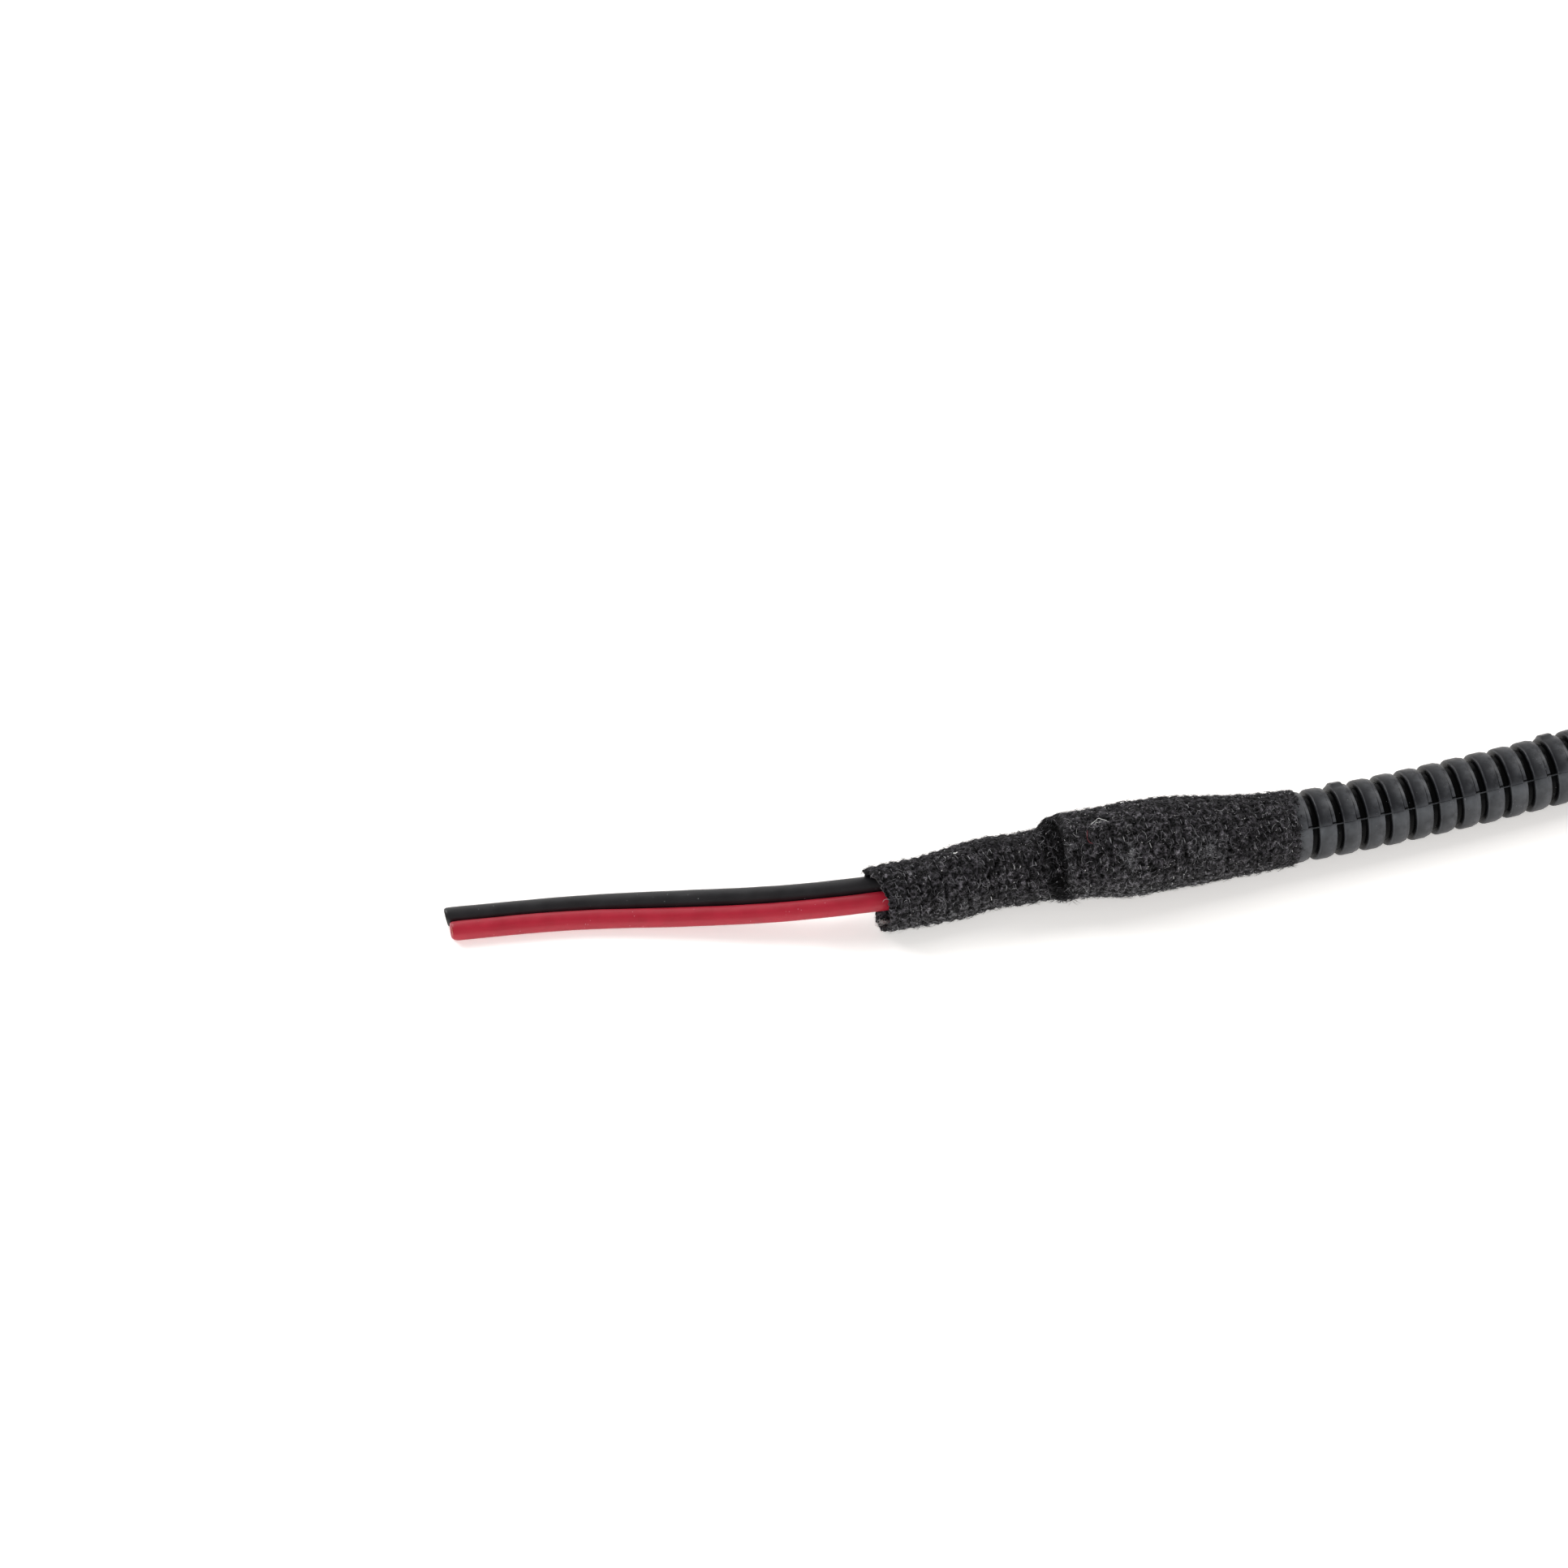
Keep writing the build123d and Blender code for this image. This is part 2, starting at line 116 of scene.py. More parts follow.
# The tape's round outline: (x, y, z, radius) along the wrap.
TAPE_OUTLINE = [
    (-0.0516, -0.07045, 0.0047, 0.00447),
    (-0.0474, -0.06945, 0.0048, 0.00465),
    (-0.0431, -0.0685, 0.0049, 0.00465),
    (-0.0401, -0.0675, 0.005, 0.00485),
    (-0.0371, -0.0664, 0.0051, 0.00495),
    (-0.0332, -0.0648, 0.0052, 0.00495),
    (-0.0297, -0.0644, 0.0051, 0.0049),
    (-0.0272, -0.0637, 0.0052, 0.0049),
    (-0.0257, -0.06355, 0.0056, 0.005),
    (-0.0238, -0.0629, 0.0062, 0.0059),
    (-0.0205, -0.06245, 0.0065, 0.0059),
    (-0.0151, -0.0621, 0.0067, 0.0065),
    (-0.0096, -0.0607, 0.0067, 0.0064),
    (-0.0042, -0.0596, 0.0063, 0.00605),
    (0.0014, -0.05825, 0.0059, 0.0055),
    (0.0083, -0.0564, 0.0055, 0.00518),
    (0.012, -0.0553, 0.0053, 0.00518),
]


PART_STEP = 0.0006  # between the points of a part that is cut out of a line


class Line:
    """A smooth route with places along its length.

    Angles round it start at the top and grow to the right of travel.
    """

    def __init__(self, points):
        self.points = np.array(points, float)
        steps = np.linalg.norm(np.diff(self.points, axis=0), axis=1)
        self.along = np.concatenate([[0.0], np.cumsum(steps)])
        self.length = float(self.along[-1])

    def places(self, s):
        s = np.asarray(s, float)
        inside = np.stack([np.interp(s, self.along, self.points[:, k]) for k in range(3)], axis=-1)
        first = self.points[1] - self.points[0]
        last = self.points[-1] - self.points[-2]
        before = np.minimum(s, 0.0)[..., None] * first / np.linalg.norm(first)
        after = np.maximum(s - self.length, 0.0)[..., None] * last / np.linalg.norm(last)
        return inside + before + after

    def frames(self, s):
        """Places, and the directions along, up and right of travel."""
        reach = 0.0004
        ahead = self.places(np.asarray(s) + reach) - self.places(np.asarray(s) - reach)
        along = ahead / np.linalg.norm(ahead, axis=-1, keepdims=True)
        right = np.cross(along, np.array([0.0, 0.0, 1.0]))
        right /= np.linalg.norm(right, axis=-1, keepdims=True)
        return self.places(s), along, np.cross(right, along), right

    def around(self, s, angle, radius):
        """Points at a distance from the route. s, angle and radius broadcast together."""
        s, angle, radius = np.broadcast_arrays(s, angle, radius)
        place, _, up, right = self.frames(s)
        outward = np.cos(angle)[..., None] * up + np.sin(angle)[..., None] * right
        return place + radius[..., None] * outward

    def tube(self, s, angles, radius, shift=0.0):
        """A grid of points on a tube's surface: rows along s and columns round it."""
        return self.around(np.asarray(s)[:, None] + shift, np.asarray(angles)[None, :], radius)

    def at_x(self, x):
        """How far along the route it first reaches x."""
        return float(np.interp(x, self.points[:, 0], self.along))

    def part(self, start, end):
        return Line(self.places(np.linspace(start, end, int((end - start) / PART_STEP))))


def nurbs_line(name, route):
    """The line of an open NURBS spline through its control points, with no bevel."""
    curve = bpy.data.curves.new(name, "CURVE")
    curve.dimensions = "3D"
    curve.resolution_u = 24
    spline = curve.splines.new("NURBS")
    spline.points.add(len(route) - 1)
    for point, place in zip(spline.points, route):
        point.co = (*place, 1.0)
    spline.order_u = 3
    spline.use_endpoint_u = True
    holder = bpy.data.objects.new(name, curve)
    mesh = bpy.data.meshes.new_from_object(holder)
    points = [tuple(v.co) for v in mesh.vertices]
    bpy.data.meshes.remove(mesh)
    bpy.data.objects.remove(holder)
    return Line(points)


def side_route(points, offset):
    """The route moved sideways in plan: a positive offset is to the left of the direction of travel."""
    moved = []
    for index, point in enumerate(points):
        before = Vector(points[max(index - 1, 0)])
        after = Vector(points[min(index + 1, len(points) - 1)])
        along = after - before
        left = Vector((-along.y, along.x, 0)).normalized()
        moved.append(tuple(Vector(point) + left * offset))
    return moved


def wire_route(tail, side):
    inside = side_route(CONDUIT_ROUTE[:-1], -side * WIRE_SIDE_STEP)
    splay = [
        (AXIS_X + side * WIRE_SIDE_STEP, WIRE_SPLAY_START, AXIS_Z),
        (AXIS_X + side * PIN_STEP, WIRE_SPLAY_END, AXIS_Z),
        (AXIS_X + side * PIN_STEP, INSULATION_END, AXIS_Z),
    ]
    return tail + inside + splay


CONDUIT_LINE = nurbs_line("conduit_line", CONDUIT_ROUTE)
TAPE_LINE = nurbs_line("tape_line", [row[:3] for row in TAPE_OUTLINE])
WIRE_LINES = {
    "red": nurbs_line("red_line", wire_route(RED_TAIL, 1)),
    "black": nurbs_line("black_line", wire_route(BLACK_TAIL, -1)),
}

TAPE_MOUTH_X = -0.0497  # where the wires leave the tape
TAPE_STEP_X = -0.0258  # where the tape climbs onto the conduit
TAPE_RIM_X = 0.0087  # where the conduit leaves the tape


# ---- mesh and node helpers
class Maker:
    """Collects grids of points into one mesh."""

    def __init__(self):
        self.points = []
        self.faces = []
        self.marks = {}
        self.count = 0

    def add(self, points, **marks):
        """Adds points and returns their numbers, in the same shape. Marks broadcast over the points."""
        shape = points.shape[:-1]
        flat = points.reshape(-1, 3)
        numbers = np.arange(self.count, self.count + len(flat)).reshape(shape)
        self.points.append(flat)
        self.count += len(flat)
        for key, value in marks.items():
            self.marks.setdefault(key, []).append((numbers.ravel(), np.broadcast_to(value, shape).ravel()))
        return numbers

    def skin(self, numbers, flip=False):
        """Quads over a grid of point numbers, closed round its second direction."""
        loops = np.concatenate([numbers, numbers[:, :1]], axis=1)
        a, b, c, d = loops[:-1, :-1], loops[:-1, 1:], loops[1:, 1:], loops[1:, :-1]
        order = (a, d, c, b) if flip else (a, b, c, d)
        self.faces.append(np.stack([part.ravel() for part in order], axis=-1))
        return numbers

    def bridge(self, first, second):
        self.skin(np.stack([first, second]))

    def cap(self, loop, flip=False):
        """A fan that closes a loop with a new middle point."""
        flat = np.concatenate(self.points)
        middle = self.add(flat[loop].mean(axis=0)[None, :])[0]
        following = np.roll(loop, -1)
        order = (loop, following) if not flip else (following, loop)
        centre = np.full(len(loop), middle)
        self.faces.append(np.stack([order[0], order[1], centre, centre], axis=-1))

    def closed_tube(self, line, s, sides, radius):
        """A round tube along a line, capped at both ends."""
        loops = self.skin(self.add(line.tube(s, round_angles(sides), radius)))
        self.cap(loops[0])
        self.cap(loops[-1], flip=True)

    def build(self, name, material, sharp_angle=None):
        mesh = bpy.data.meshes.new(name)
        faces = []
        for group in self.faces:
            for face in group.tolist():
                faces.append(face[:3] if face[2] == face[3] else face)
        mesh.from_pydata(np.concatenate(self.points).tolist(), [], faces)
        mesh.shade_smooth()
        for key, groups in self.marks.items():
            values = np.zeros(self.count, np.float32)
            for numbers, value in groups:
                values[numbers] = value
            mesh.attributes.new(key, "FLOAT", "POINT").data.foreach_set("value", values)
        if sharp_angle is not None:
            mesh.set_sharp_from_angle(angle=sharp_angle)
        mesh.materials.append(material)
        mesh.update()
        return place_object(name, mesh)


def roughness_at(points, scale, offset=0.0):
    """Smooth noise in -1..1 at each point; scale is in waves per metre."""
    flat = points.reshape(-1, 3) * scale + offset
    values = np.array([noise.noise(p) for p in flat.tolist()])
    return values.reshape(points.shape[:-1])


def round_angles(count):
    return np.linspace(0.0, 2 * math.pi, count, endpoint=False)


def short_way(angle):
    """The same direction as a signed angle within half a turn."""
    return np.angle(np.exp(1j * angle))


def apart(angle, middle_degrees):
    """The signed angle from a middle, the short way round."""
    return short_way(angle - math.radians(middle_degrees))


class Nodes:
    """A material's node tree, with short names for the nodes used here."""

    def __init__(self, name, roughness=0.5, **shader):
        self.material = bpy.data.materials.new(name)
        self.material.use_nodes = True
        self.tree = self.material.node_tree
        self.shader = self.tree.nodes["Principled BSDF"]
        self.shader.inputs["Roughness"].default_value = roughness
        for key, value in shader.items():
            self.shader.inputs[key.replace("_", " ")].default_value = value
        self.place = self.node("ShaderNodeTexCoord").outputs["Object"]

    def node(self, kind, **fields):
        made = self.tree.nodes.new(kind)
        for key, value in fields.items():
            setattr(made, key, value)
        return made

    def link(self, source, target):
        self.tree.links.new(source, target)

    def noise(self, scale, detail=4.0, rough=0.55, stretch=None, vector=None):
        texture = self.node("ShaderNodeTexNoise")
        texture.inputs["Scale"].default_value = scale
        texture.inputs["Detail"].default_value = detail
        texture.inputs["Roughness"].default_value = rough
        source = self.place if vector is None else vector
        if stretch is not None:
            mapping = self.node("ShaderNodeMapping")
            mapping.inputs["Scale"].default_value = stretch
            self.link(source, mapping.inputs["Vector"])
            source = mapping.outputs["Vector"]
        self.link(source, texture.inputs["Vector"])
        return texture.outputs["Fac"]

    def spots(self, scale):
        texture = self.node("ShaderNodeTexVoronoi")
        texture.inputs["Scale"].default_value = scale
        self.link(self.place, texture.inputs["Vector"])
        return texture.outputs["Distance"]

    def mark(self, name):
        """The value that the mesh holds under this name."""
        return self.node("ShaderNodeAttribute", attribute_name=name).outputs["Fac"]

    def ramp(self, source, *stops):
        """A colour ramp: stops are (position, grey) or (position, (r, g, b))."""
        made = self.node("ShaderNodeValToRGB")
        elements = made.color_ramp.elements
        while len(elements) < len(stops):
            elements.new(0.5)
        for element, (position, colour) in zip(elements, stops):
            element.position = position
            rgb = (colour,) * 3 if isinstance(colour, (int, float)) else colour
            element.color = (*rgb, 1.0)
        self.link(source, made.inputs["Fac"])
        return made.outputs["Color"]

    def math(self, operation, a, b):
        made = self.node("ShaderNodeMath", operation=operation)
        for socket, value in zip(made.inputs, (a, b)):
            if isinstance(value, (int, float)):
                socket.default_value = value
            else:
                self.link(value, socket)
        return made.outputs["Value"]

    def mix(self, share, a, b, blend="MIX"):
        made = self.node("ShaderNodeMix", data_type="RGBA", blend_type=blend)
        for name, value in (("Factor_Float", share), ("A_Color", a), ("B_Color", b)):
            socket = next(s for s in made.inputs if s.identifier == name)
            if isinstance(value, (int, float)):
                socket.default_value = value
            elif isinstance(value, tuple):
                socket.default_value = (*value, 1.0)
            else:
                self.link(value, socket)
        return next(s for s in made.outputs if s.identifier == "Result_Color")

    def mottle(self, source, dark, light):
        """The usual spread of a noise between two colours or two greys."""
        return self.ramp(source, (0.3, dark), (0.7, light))

    def tint(self, base, share, strength, colour):
        """The base with a share of another colour over it. strength is a number or a socket."""
        return self.mix(self.math("MULTIPLY", share, strength), base, colour)

    def colour(self, source):
        self.link(source, self.shader.inputs["Base Color"])

    def roughness(self, source):
        self.link(source, self.shader.inputs["Roughness"])

    def bump(self, *layers):
        """Bump layers, each (height, strength, distance in metres)."""
        normal = None
        for height, strength, distance in layers:
            made = self.node("ShaderNodeBump")
            made.inputs["Strength"].default_value = strength
            made.inputs["Distance"].default_value = distance
            self.link(height, made.inputs["Height"])
            if normal is not None:
                self.link(normal, made.inputs["Normal"])
            normal = made.outputs["Normal"]
        self.link(normal, self.shader.inputs["Normal"])


# ---- materials
def pvc_material(name, deep, light, speck, dust):
    """Wire insulation: faint mottling, a fine skin grain and specks of dust."""
    n = Nodes(name, roughness=0.42, IOR=1.5)
    cloud = n.noise(420, detail=3)
    specks = n.ramp(n.spots(1500), (0.0, 1.0), (0.085, 1.0), (0.11, 0.0))
    here = n.ramp(n.noise(400, detail=1), (0.52, 0.0), (0.6, 1.0))
    shown = n.mix(1.0, specks, here, "MULTIPLY")
    n.colour(n.tint(n.mottle(cloud, deep, light), shown, dust, speck))
    n.roughness(n.ramp(cloud, (0.25, 0.36), (0.75, 0.5)))
    n.bump((n.noise(900, detail=2), 0.12, 0.00004), (n.noise(5200, detail=2), 0.15, 0.00002))
    return n


def black_pvc():
    n = pvc_material("black_pvc", (0.006, 0.0055, 0.0065), (0.011, 0.0105, 0.012), (0.35, 0.35, 0.36), 0.5)
    return n.material


def red_pvc():
    n = pvc_material("red_pvc", (0.305, 0.006, 0.02), (0.365, 0.009, 0.027), (0.7, 0.35, 0.4), 0.4)
    n.shader.inputs["Subsurface Weight"].default_value = 0.1
    n.shader.inputs["Subsurface Radius"].default_value = (0.0012, 0.0003, 0.0003)
    n.shader.inputs["Subsurface Scale"].default_value = 0.5
    return n.material


def cut_face(name, dark, light):
    """The freshly cut end of the insulation, paler and duller than its skin."""
    n = Nodes(name, roughness=0.7)
    n.colour(n.mottle(n.noise(3000, detail=3), dark, light))
    n.bump((n.noise(4000, detail=3), 0.5, 0.00005))
    return n.material


def copper():
    n = Nodes("copper", roughness=0.32, Metallic=1.0)
    n.colour(n.mottle(n.noise(2500, detail=3), (0.55, 0.25, 0.13), (0.83, 0.47, 0.29)))
    n.bump((n.noise(6000, detail=2), 0.2, 0.00002))
    return n.material


def conduit_plastic():
    """Extruded polyamide: fine grain, a little dust, pale crest edges of wear and painted highlight, a
    painted highlight beside the parting lines and painted shade in the grooves.
    """
    n = Nodes("conduit_plastic", roughness=0.45, IOR=1.5)
    cloud = n.noise(160, detail=4)
    base = n.mottle(cloud, (0.009, 0.0095, 0.0115), (0.0135, 0.014, 0.0165))
    dust = n.ramp(n.noise(1500), (0.35, 0.1), (0.65, 0.7))
    base = n.tint(base, n.mark("dusty"), dust, (0.075, 0.078, 0.082))
    # Painted highlight: paler beside the parting lines, on the side below the near one, mottled by noise.
    highlight_mottle = n.ramp(n.noise(420, detail=4), (0.3, 0.35), (0.65, 1.0))
    base = n.tint(base, n.mark("parting_line_highlight"), highlight_mottle, (0.082, 0.087, 0.094))
    # Pale crest edges: wear, and a painted highlight on the edges.
    rubbed_and_lit = n.ramp(n.noise(900, detail=3), (0.35, 0.1), (0.65, 0.6))
    base = n.tint(base, n.mark("edge_wear_and_highlight"), rubbed_and_lit, (0.085, 0.088, 0.096))
    # Painted shade: the grooves, the crease and the slot go nearly black.
    base = n.tint(base, n.mark("groove"), 0.96, (0.001, 0.001, 0.001))
    specks = n.ramp(n.spots(1700), (0.0, 1.0), (0.07, 1.0), (0.10, 0.0))
    patchy = n.ramp(n.noise(230, detail=2), (0.5, 0.0), (0.62, 1.0))
    n.colour(n.tint(base, n.mix(1.0, specks, patchy, "MULTIPLY"), 0.45, (0.3, 0.3, 0.32)))
    n.roughness(n.mix(n.mark("groove"), n.ramp(cloud, (0.25, 0.40), (0.75, 0.46)), (0.25, 0.25, 0.25)))
    shine = n.math("SUBTRACT", 0.26, n.math("MULTIPLY", n.mark("groove"), 0.21))
    n.link(shine, n.shader.inputs["Specular IOR Level"])
    n.bump((n.noise(700, detail=2), 0.18, 0.00006), (n.noise(3800, detail=3), 0.16, 0.00002))
    return n.material


def fleece_tape():
    """Stitch-bonded fleece: a mat of fine curly fibres over dark gaps, painted shade in its pits and
    creases, paler where it is worn and painted lighter along its underside.
    """
    n = Nodes("fleece_tape", roughness=0.95, Sheen_Roughness=0.5, Specular_IOR_Level=0.04)
    mat = None
    for layer, scale in enumerate((1000, 1350, 1800, 2400)):
        shift = n.node("ShaderNodeVectorMath", operation="ADD")
        shift.inputs[1].default_value = (0.11 * layer, 0.07 * layer, 0.05 * layer)
        n.link(n.place, shift.inputs[0])
        wave = n.noise(scale, detail=1.5, rough=0.5, vector=shift.outputs["Vector"])
        lines = n.ramp(wave, (0.458, 0.0), (0.488, 1.0), (0.512, 1.0), (0.542, 0.0))
        weaker = 1.0 - 0.12 * layer
        mat = lines if mat is None else n.math("MAXIMUM", mat, n.math("MULTIPLY", lines, weaker))
    tone = n.ramp(n.noise(800, detail=3), (0.3, (0.034, 0.031, 0.037)), (0.5, (0.093, 0.086, 0.099)),
                  (0.7, (0.28, 0.265, 0.29)))
    # Pale wear, and painted light along the underside of each wrap.
    tone = n.tint(tone, n.mark("worn"), 0.75, (0.32, 0.322, 0.335))
    # deep is the near black of the painted shade in pits and creases.
    deep = (0.002, 0.002, 0.002)
    base = n.mix(mat, n.mix(n.mark("pit"), (0.006, 0.0058, 0.0066), deep), tone)
    base = n.tint(base, n.mark("pit"), 0.92, deep)
    clumps = n.ramp(n.noise(1650, detail=2), (0.42, 0.04), (0.5, 0.55), (0.59, 1.0))
    base = n.mix(1.0, base, clumps, "MULTIPLY")
    # Painted shade: creases darkened nearly to black by their fold share.
    n.colour(n.tint(base, n.mark("fold"), 0.9, deep))
    # Less sheen where shade is painted in pits and creases.
    hidden = n.math("MAXIMUM", n.mark("pit"), n.mark("fold"))
    n.link(n.math("MULTIPLY", 0.15, n.math("SUBTRACT", 1.0, hidden)), n.shader.inputs["Sheen Weight"])
    n.bump((mat, 0.8, 0.00012))
    return n.material


def fibre_material():
    """Single fibres, from charcoal to nearly white by each fibre's own tone."""
    n = Nodes("fleece_fibres", roughness=0.8, Specular_IOR_Level=0.15)
    n.colour(n.ramp(n.mark("tone"), (0.0, (0.006, 0.006, 0.0065)), (0.55, (0.05, 0.049, 0.053)),
                    (0.85, (0.2, 0.198, 0.21)), (0.93, (0.4, 0.4, 0.41)), (1.0, (0.8, 0.79, 0.77))))
    return n.material


def stray_fibre(name, colour):
    n = Nodes(name, roughness=0.6)
    n.colour(n.mottle(n.noise(2000, detail=1), colour, tuple(min(1.0, c * 1.25) for c in colour)))
    return n.material


def moulded_plastic(name, dark, light, rough, grain=2600.0):
    """Injection-moulded plastic with a spark-eroded texture and slight cloudiness."""
    n = Nodes(name, roughness=rough, IOR=1.5)
    cloud = n.noise(140, detail=4)
    texture = n.noise(grain, detail=4, rough=0.6)
    base = n.mottle(cloud, dark, light)
    pits = n.ramp(texture, (0.35, 0.75), (0.6, 1.0))
    n.colour(n.mix(0.6, base, n.mix(1.0, base, pits, "MULTIPLY")))
    n.roughness(n.ramp(cloud, (0.25, rough - 0.05), (0.75, rough + 0.08)))
    n.bump((texture, 0.35, 0.00004), (n.noise(420, detail=2), 0.12, 0.00008))
    return n.material


def silicone(name, dark, light):
    n = Nodes(name, roughness=0.55, Subsurface_Weight=0.08)
    n.shader.inputs["Subsurface Radius"].default_value = (0.001, 0.0005, 0.0003)
    n.shader.inputs["Subsurface Scale"].default_value = 0.5
    film = n.noise(350, detail=3)
    n.colour(n.mottle(film, dark, light))
    n.roughness(n.mottle(film, 0.48, 0.64))
    n.bump((n.noise(3000, detail=2), 0.2, 0.00003))
    return n.material


def plated_metal(name, dark, light, rough):
    n = Nodes(name, roughness=rough, Metallic=1.0)
    brushed = n.noise(1400, detail=4, stretch=(1.0, 0.08, 1.0))
    n.colour(n.mottle(brushed, dark, light))
    n.roughness(n.mottle(brushed, rough - 0.06, rough + 0.08))
    n.bump((brushed, 0.2, 0.00003))
    return n.material


# ---- wires
TAIL_OVERLAP = 0.008  # how far each tail piece reaches into the tape
WIRE_LAP = 0.0005  # how far the run starts inside the tail piece
RIM_ROUNDING = (0.00016, 0.00007, 0.00002)  # how far the first three loops at the cut draw in
CORE_HOLE_RADIUS = 0.00097
CORE_HOLE_DEPTH = 0.0012
CORE_RADIUS = 0.00094
CORE_REACH = 0.004  # past the insulation's end, into the terminal
STRAND_RADIUS = 0.000188
STRANDS_LENGTH = 0.012
STRAND_LAY = 0.028  # the length in which a strand goes once round
# Each wire's cut: how far it leans and toward which angle, the nicked corner,
# and how far it reaches past the route.
CUTS = {
    "red": {"slope": 0.08, "back_at": 67, "nick": 0.00042, "nick_at": 137, "reach": 0.00030},
    "black": {"slope": 0.15, "back_at": 136, "nick": 0.0001, "nick_at": -44, "reach": 0.00045},
}
STRAND_RINGS = ((0, 1), (0.00039, 6), (0.00076, 12))  # radius and number of strands


def cut_shift(angles, cut):
    """How far the cut end stands back at each angle: a leaning plane, and one nicked corner."""
    plane = WIRE_RADIUS * cut["slope"] * (1 + np.cos(angles - math.radians(cut["back_at"])))
    nick = cut["nick"] * np.exp(-(apart(angles, cut["nick_at"]) / 0.45) ** 2)
    return plane + nick - cut["reach"]


def wire_tail(colour, line, skin, face, cut):
    """The free end of one wire, from inside the tape to its cut face."""
    angles = round_angles(48)
    end = line.at_x(TAPE_MOUTH_X) + TAIL_OVERLAP
    tail = line.part(0.0, end)
    s = np.concatenate([np.array([0.0, 0.00008, 0.0003]), np.linspace(0.0009, tail.length, 150)])
    shift = np.exp(-s / 0.0035)[:, None] * cut_shift(angles, cut)[None, :]
    surface = tail.tube(s, angles, WIRE_RADIUS, shift)
    dents = 0.00003 * roughness_at(surface, 240) + 0.00001 * roughness_at(surface, 900, 7.0)
    radius = WIRE_RADIUS + dents
    radius[:3] -= np.array(RIM_ROUNDING)[:, None]
    maker = Maker()
    outer = maker.skin(maker.add(tail.tube(s, angles, radius, shift)))
    maker.cap(outer[-1], flip=True)
    piece = maker.build(f"{colour}_wire_tail", skin, math.radians(50))

    faces = Maker()
    rim = tail.tube(s[:1], angles, radius[:1], shift[:1])
    level = shift[:1].mean() + 0.72 * (shift[:1] - shift[:1].mean())
    hole = tail.tube(s[:1] + 0.00002, angles, CORE_HOLE_RADIUS, level)
    deep = tail.tube(s[:1] + CORE_HOLE_DEPTH, angles, CORE_HOLE_RADIUS, level)
    grid = faces.add(np.concatenate([rim, hole, deep]))
    faces.skin(grid, flip=True)
    end_face = faces.build(f"{colour}_wire_cut", face, math.radians(40))
    return tail, piece, end_face


def wire_strands(colour, line, metal, cut):
    """The end of the copper core: nineteen twisted strands that show at the cut."""
    maker = Maker()
    for ring_radius, count in STRAND_RINGS:
        for strand in range(count):
            angle = 2 * math.pi * strand / count + ring_radius * 900
            s = np.linspace(0.00018, STRANDS_LENGTH, 14)
            place, along, up, right = line.frames(s)
            twist = angle + s / STRAND_LAY * 2 * math.pi
            centre = place + ring_radius * (np.cos(twist)[:, None] * up + np.sin(twist)[:, None] * right)
            back = ring_radius * cut["slope"] * np.cos(angle - math.radians(cut["back_at"]))
            middle = WIRE_RADIUS * cut["slope"] - cut["reach"]
            centre += along * ((back + middle) * np.exp(-s / 0.004))[:, None]
            path = Line(centre)
            maker.closed_tube(path, path.along, 8, STRAND_RADIUS)
    return maker.build(f"{colour}_wire_strands", metal, math.radians(50))


def wire_core(colour, line, metal):
    """The rest of the copper core, out of sight in the insulation up to its terminal."""
    maker = Maker()
    s = np.linspace(STRANDS_LENGTH - 0.0002, line.length + CORE_REACH, 220)
    maker.closed_tube(line, s, 16, CORE_RADIUS)
    return maker.build(f"{colour}_wire_core", metal, math.radians(50))


def wire_run(colour, line, skin):
    """The rest of the wire, through the tape and the conduit to its terminal."""
    start = line.at_x(TAPE_MOUTH_X) + TAIL_OVERLAP - WIRE_LAP
    maker = Maker()
    maker.closed_tube(line, np.linspace(start, line.length, 230), 28, WIRE_RADIUS)
    return maker.build(f"{colour}_wire_run", skin)


def make_wires():
    metal = copper()
    skins = {
        "red": (red_pvc(), cut_face("red_pvc_cut", (0.42, 0.07, 0.10), (0.58, 0.17, 0.21))),
        "black": (black_pvc(), cut_face("black_pvc_cut", (0.006, 0.006, 0.007), (0.014, 0.014, 0.016))),
    }
    for colour, (skin, face) in skins.items():
        line = WIRE_LINES[colour]
        tail, piece, end_face = wire_tail(colour, line, skin, face, CUTS[colour])
        run = wire_run(colour, line, skin)
        strands = wire_strands(colour, line, metal, CUTS[colour])
        core = wire_core(colour, line, metal)
        for part in (piece, end_face, run, strands, core):
            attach(part, "lead")
        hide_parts(f"{colour}_wire_insulation")
        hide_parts(f"{colour}_wire_insulation")
        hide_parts(f"{colour}_wire_conductor")
        leave = line.places(line.at_x(TAPE_MOUTH_X))


# ---- corrugated conduit
RING_PITCH = 0.00358
GROOVE_AT_X = 0.0106  # a groove's centre lies here on the axis
PARTING_ANGLE = math.radians(52)
PARTING_FLOOR = 0.00483  # the web along the parting line never sinks below this radius
SLOT_DEPTH = 0.00016
CONDUIT_BORE_RADIUS = 0.0037
CONDUIT_GRAIN = 0.000012  # how uneven its surface is, and its rings among each other
MARK_EVERY = 9  # rings from one raised mark to the next
MARK_HEIGHT = 0.00027
CORD_EXIT_DEPTH = 0.006  # the conduit's cord leaves the tape from this far inside the rim
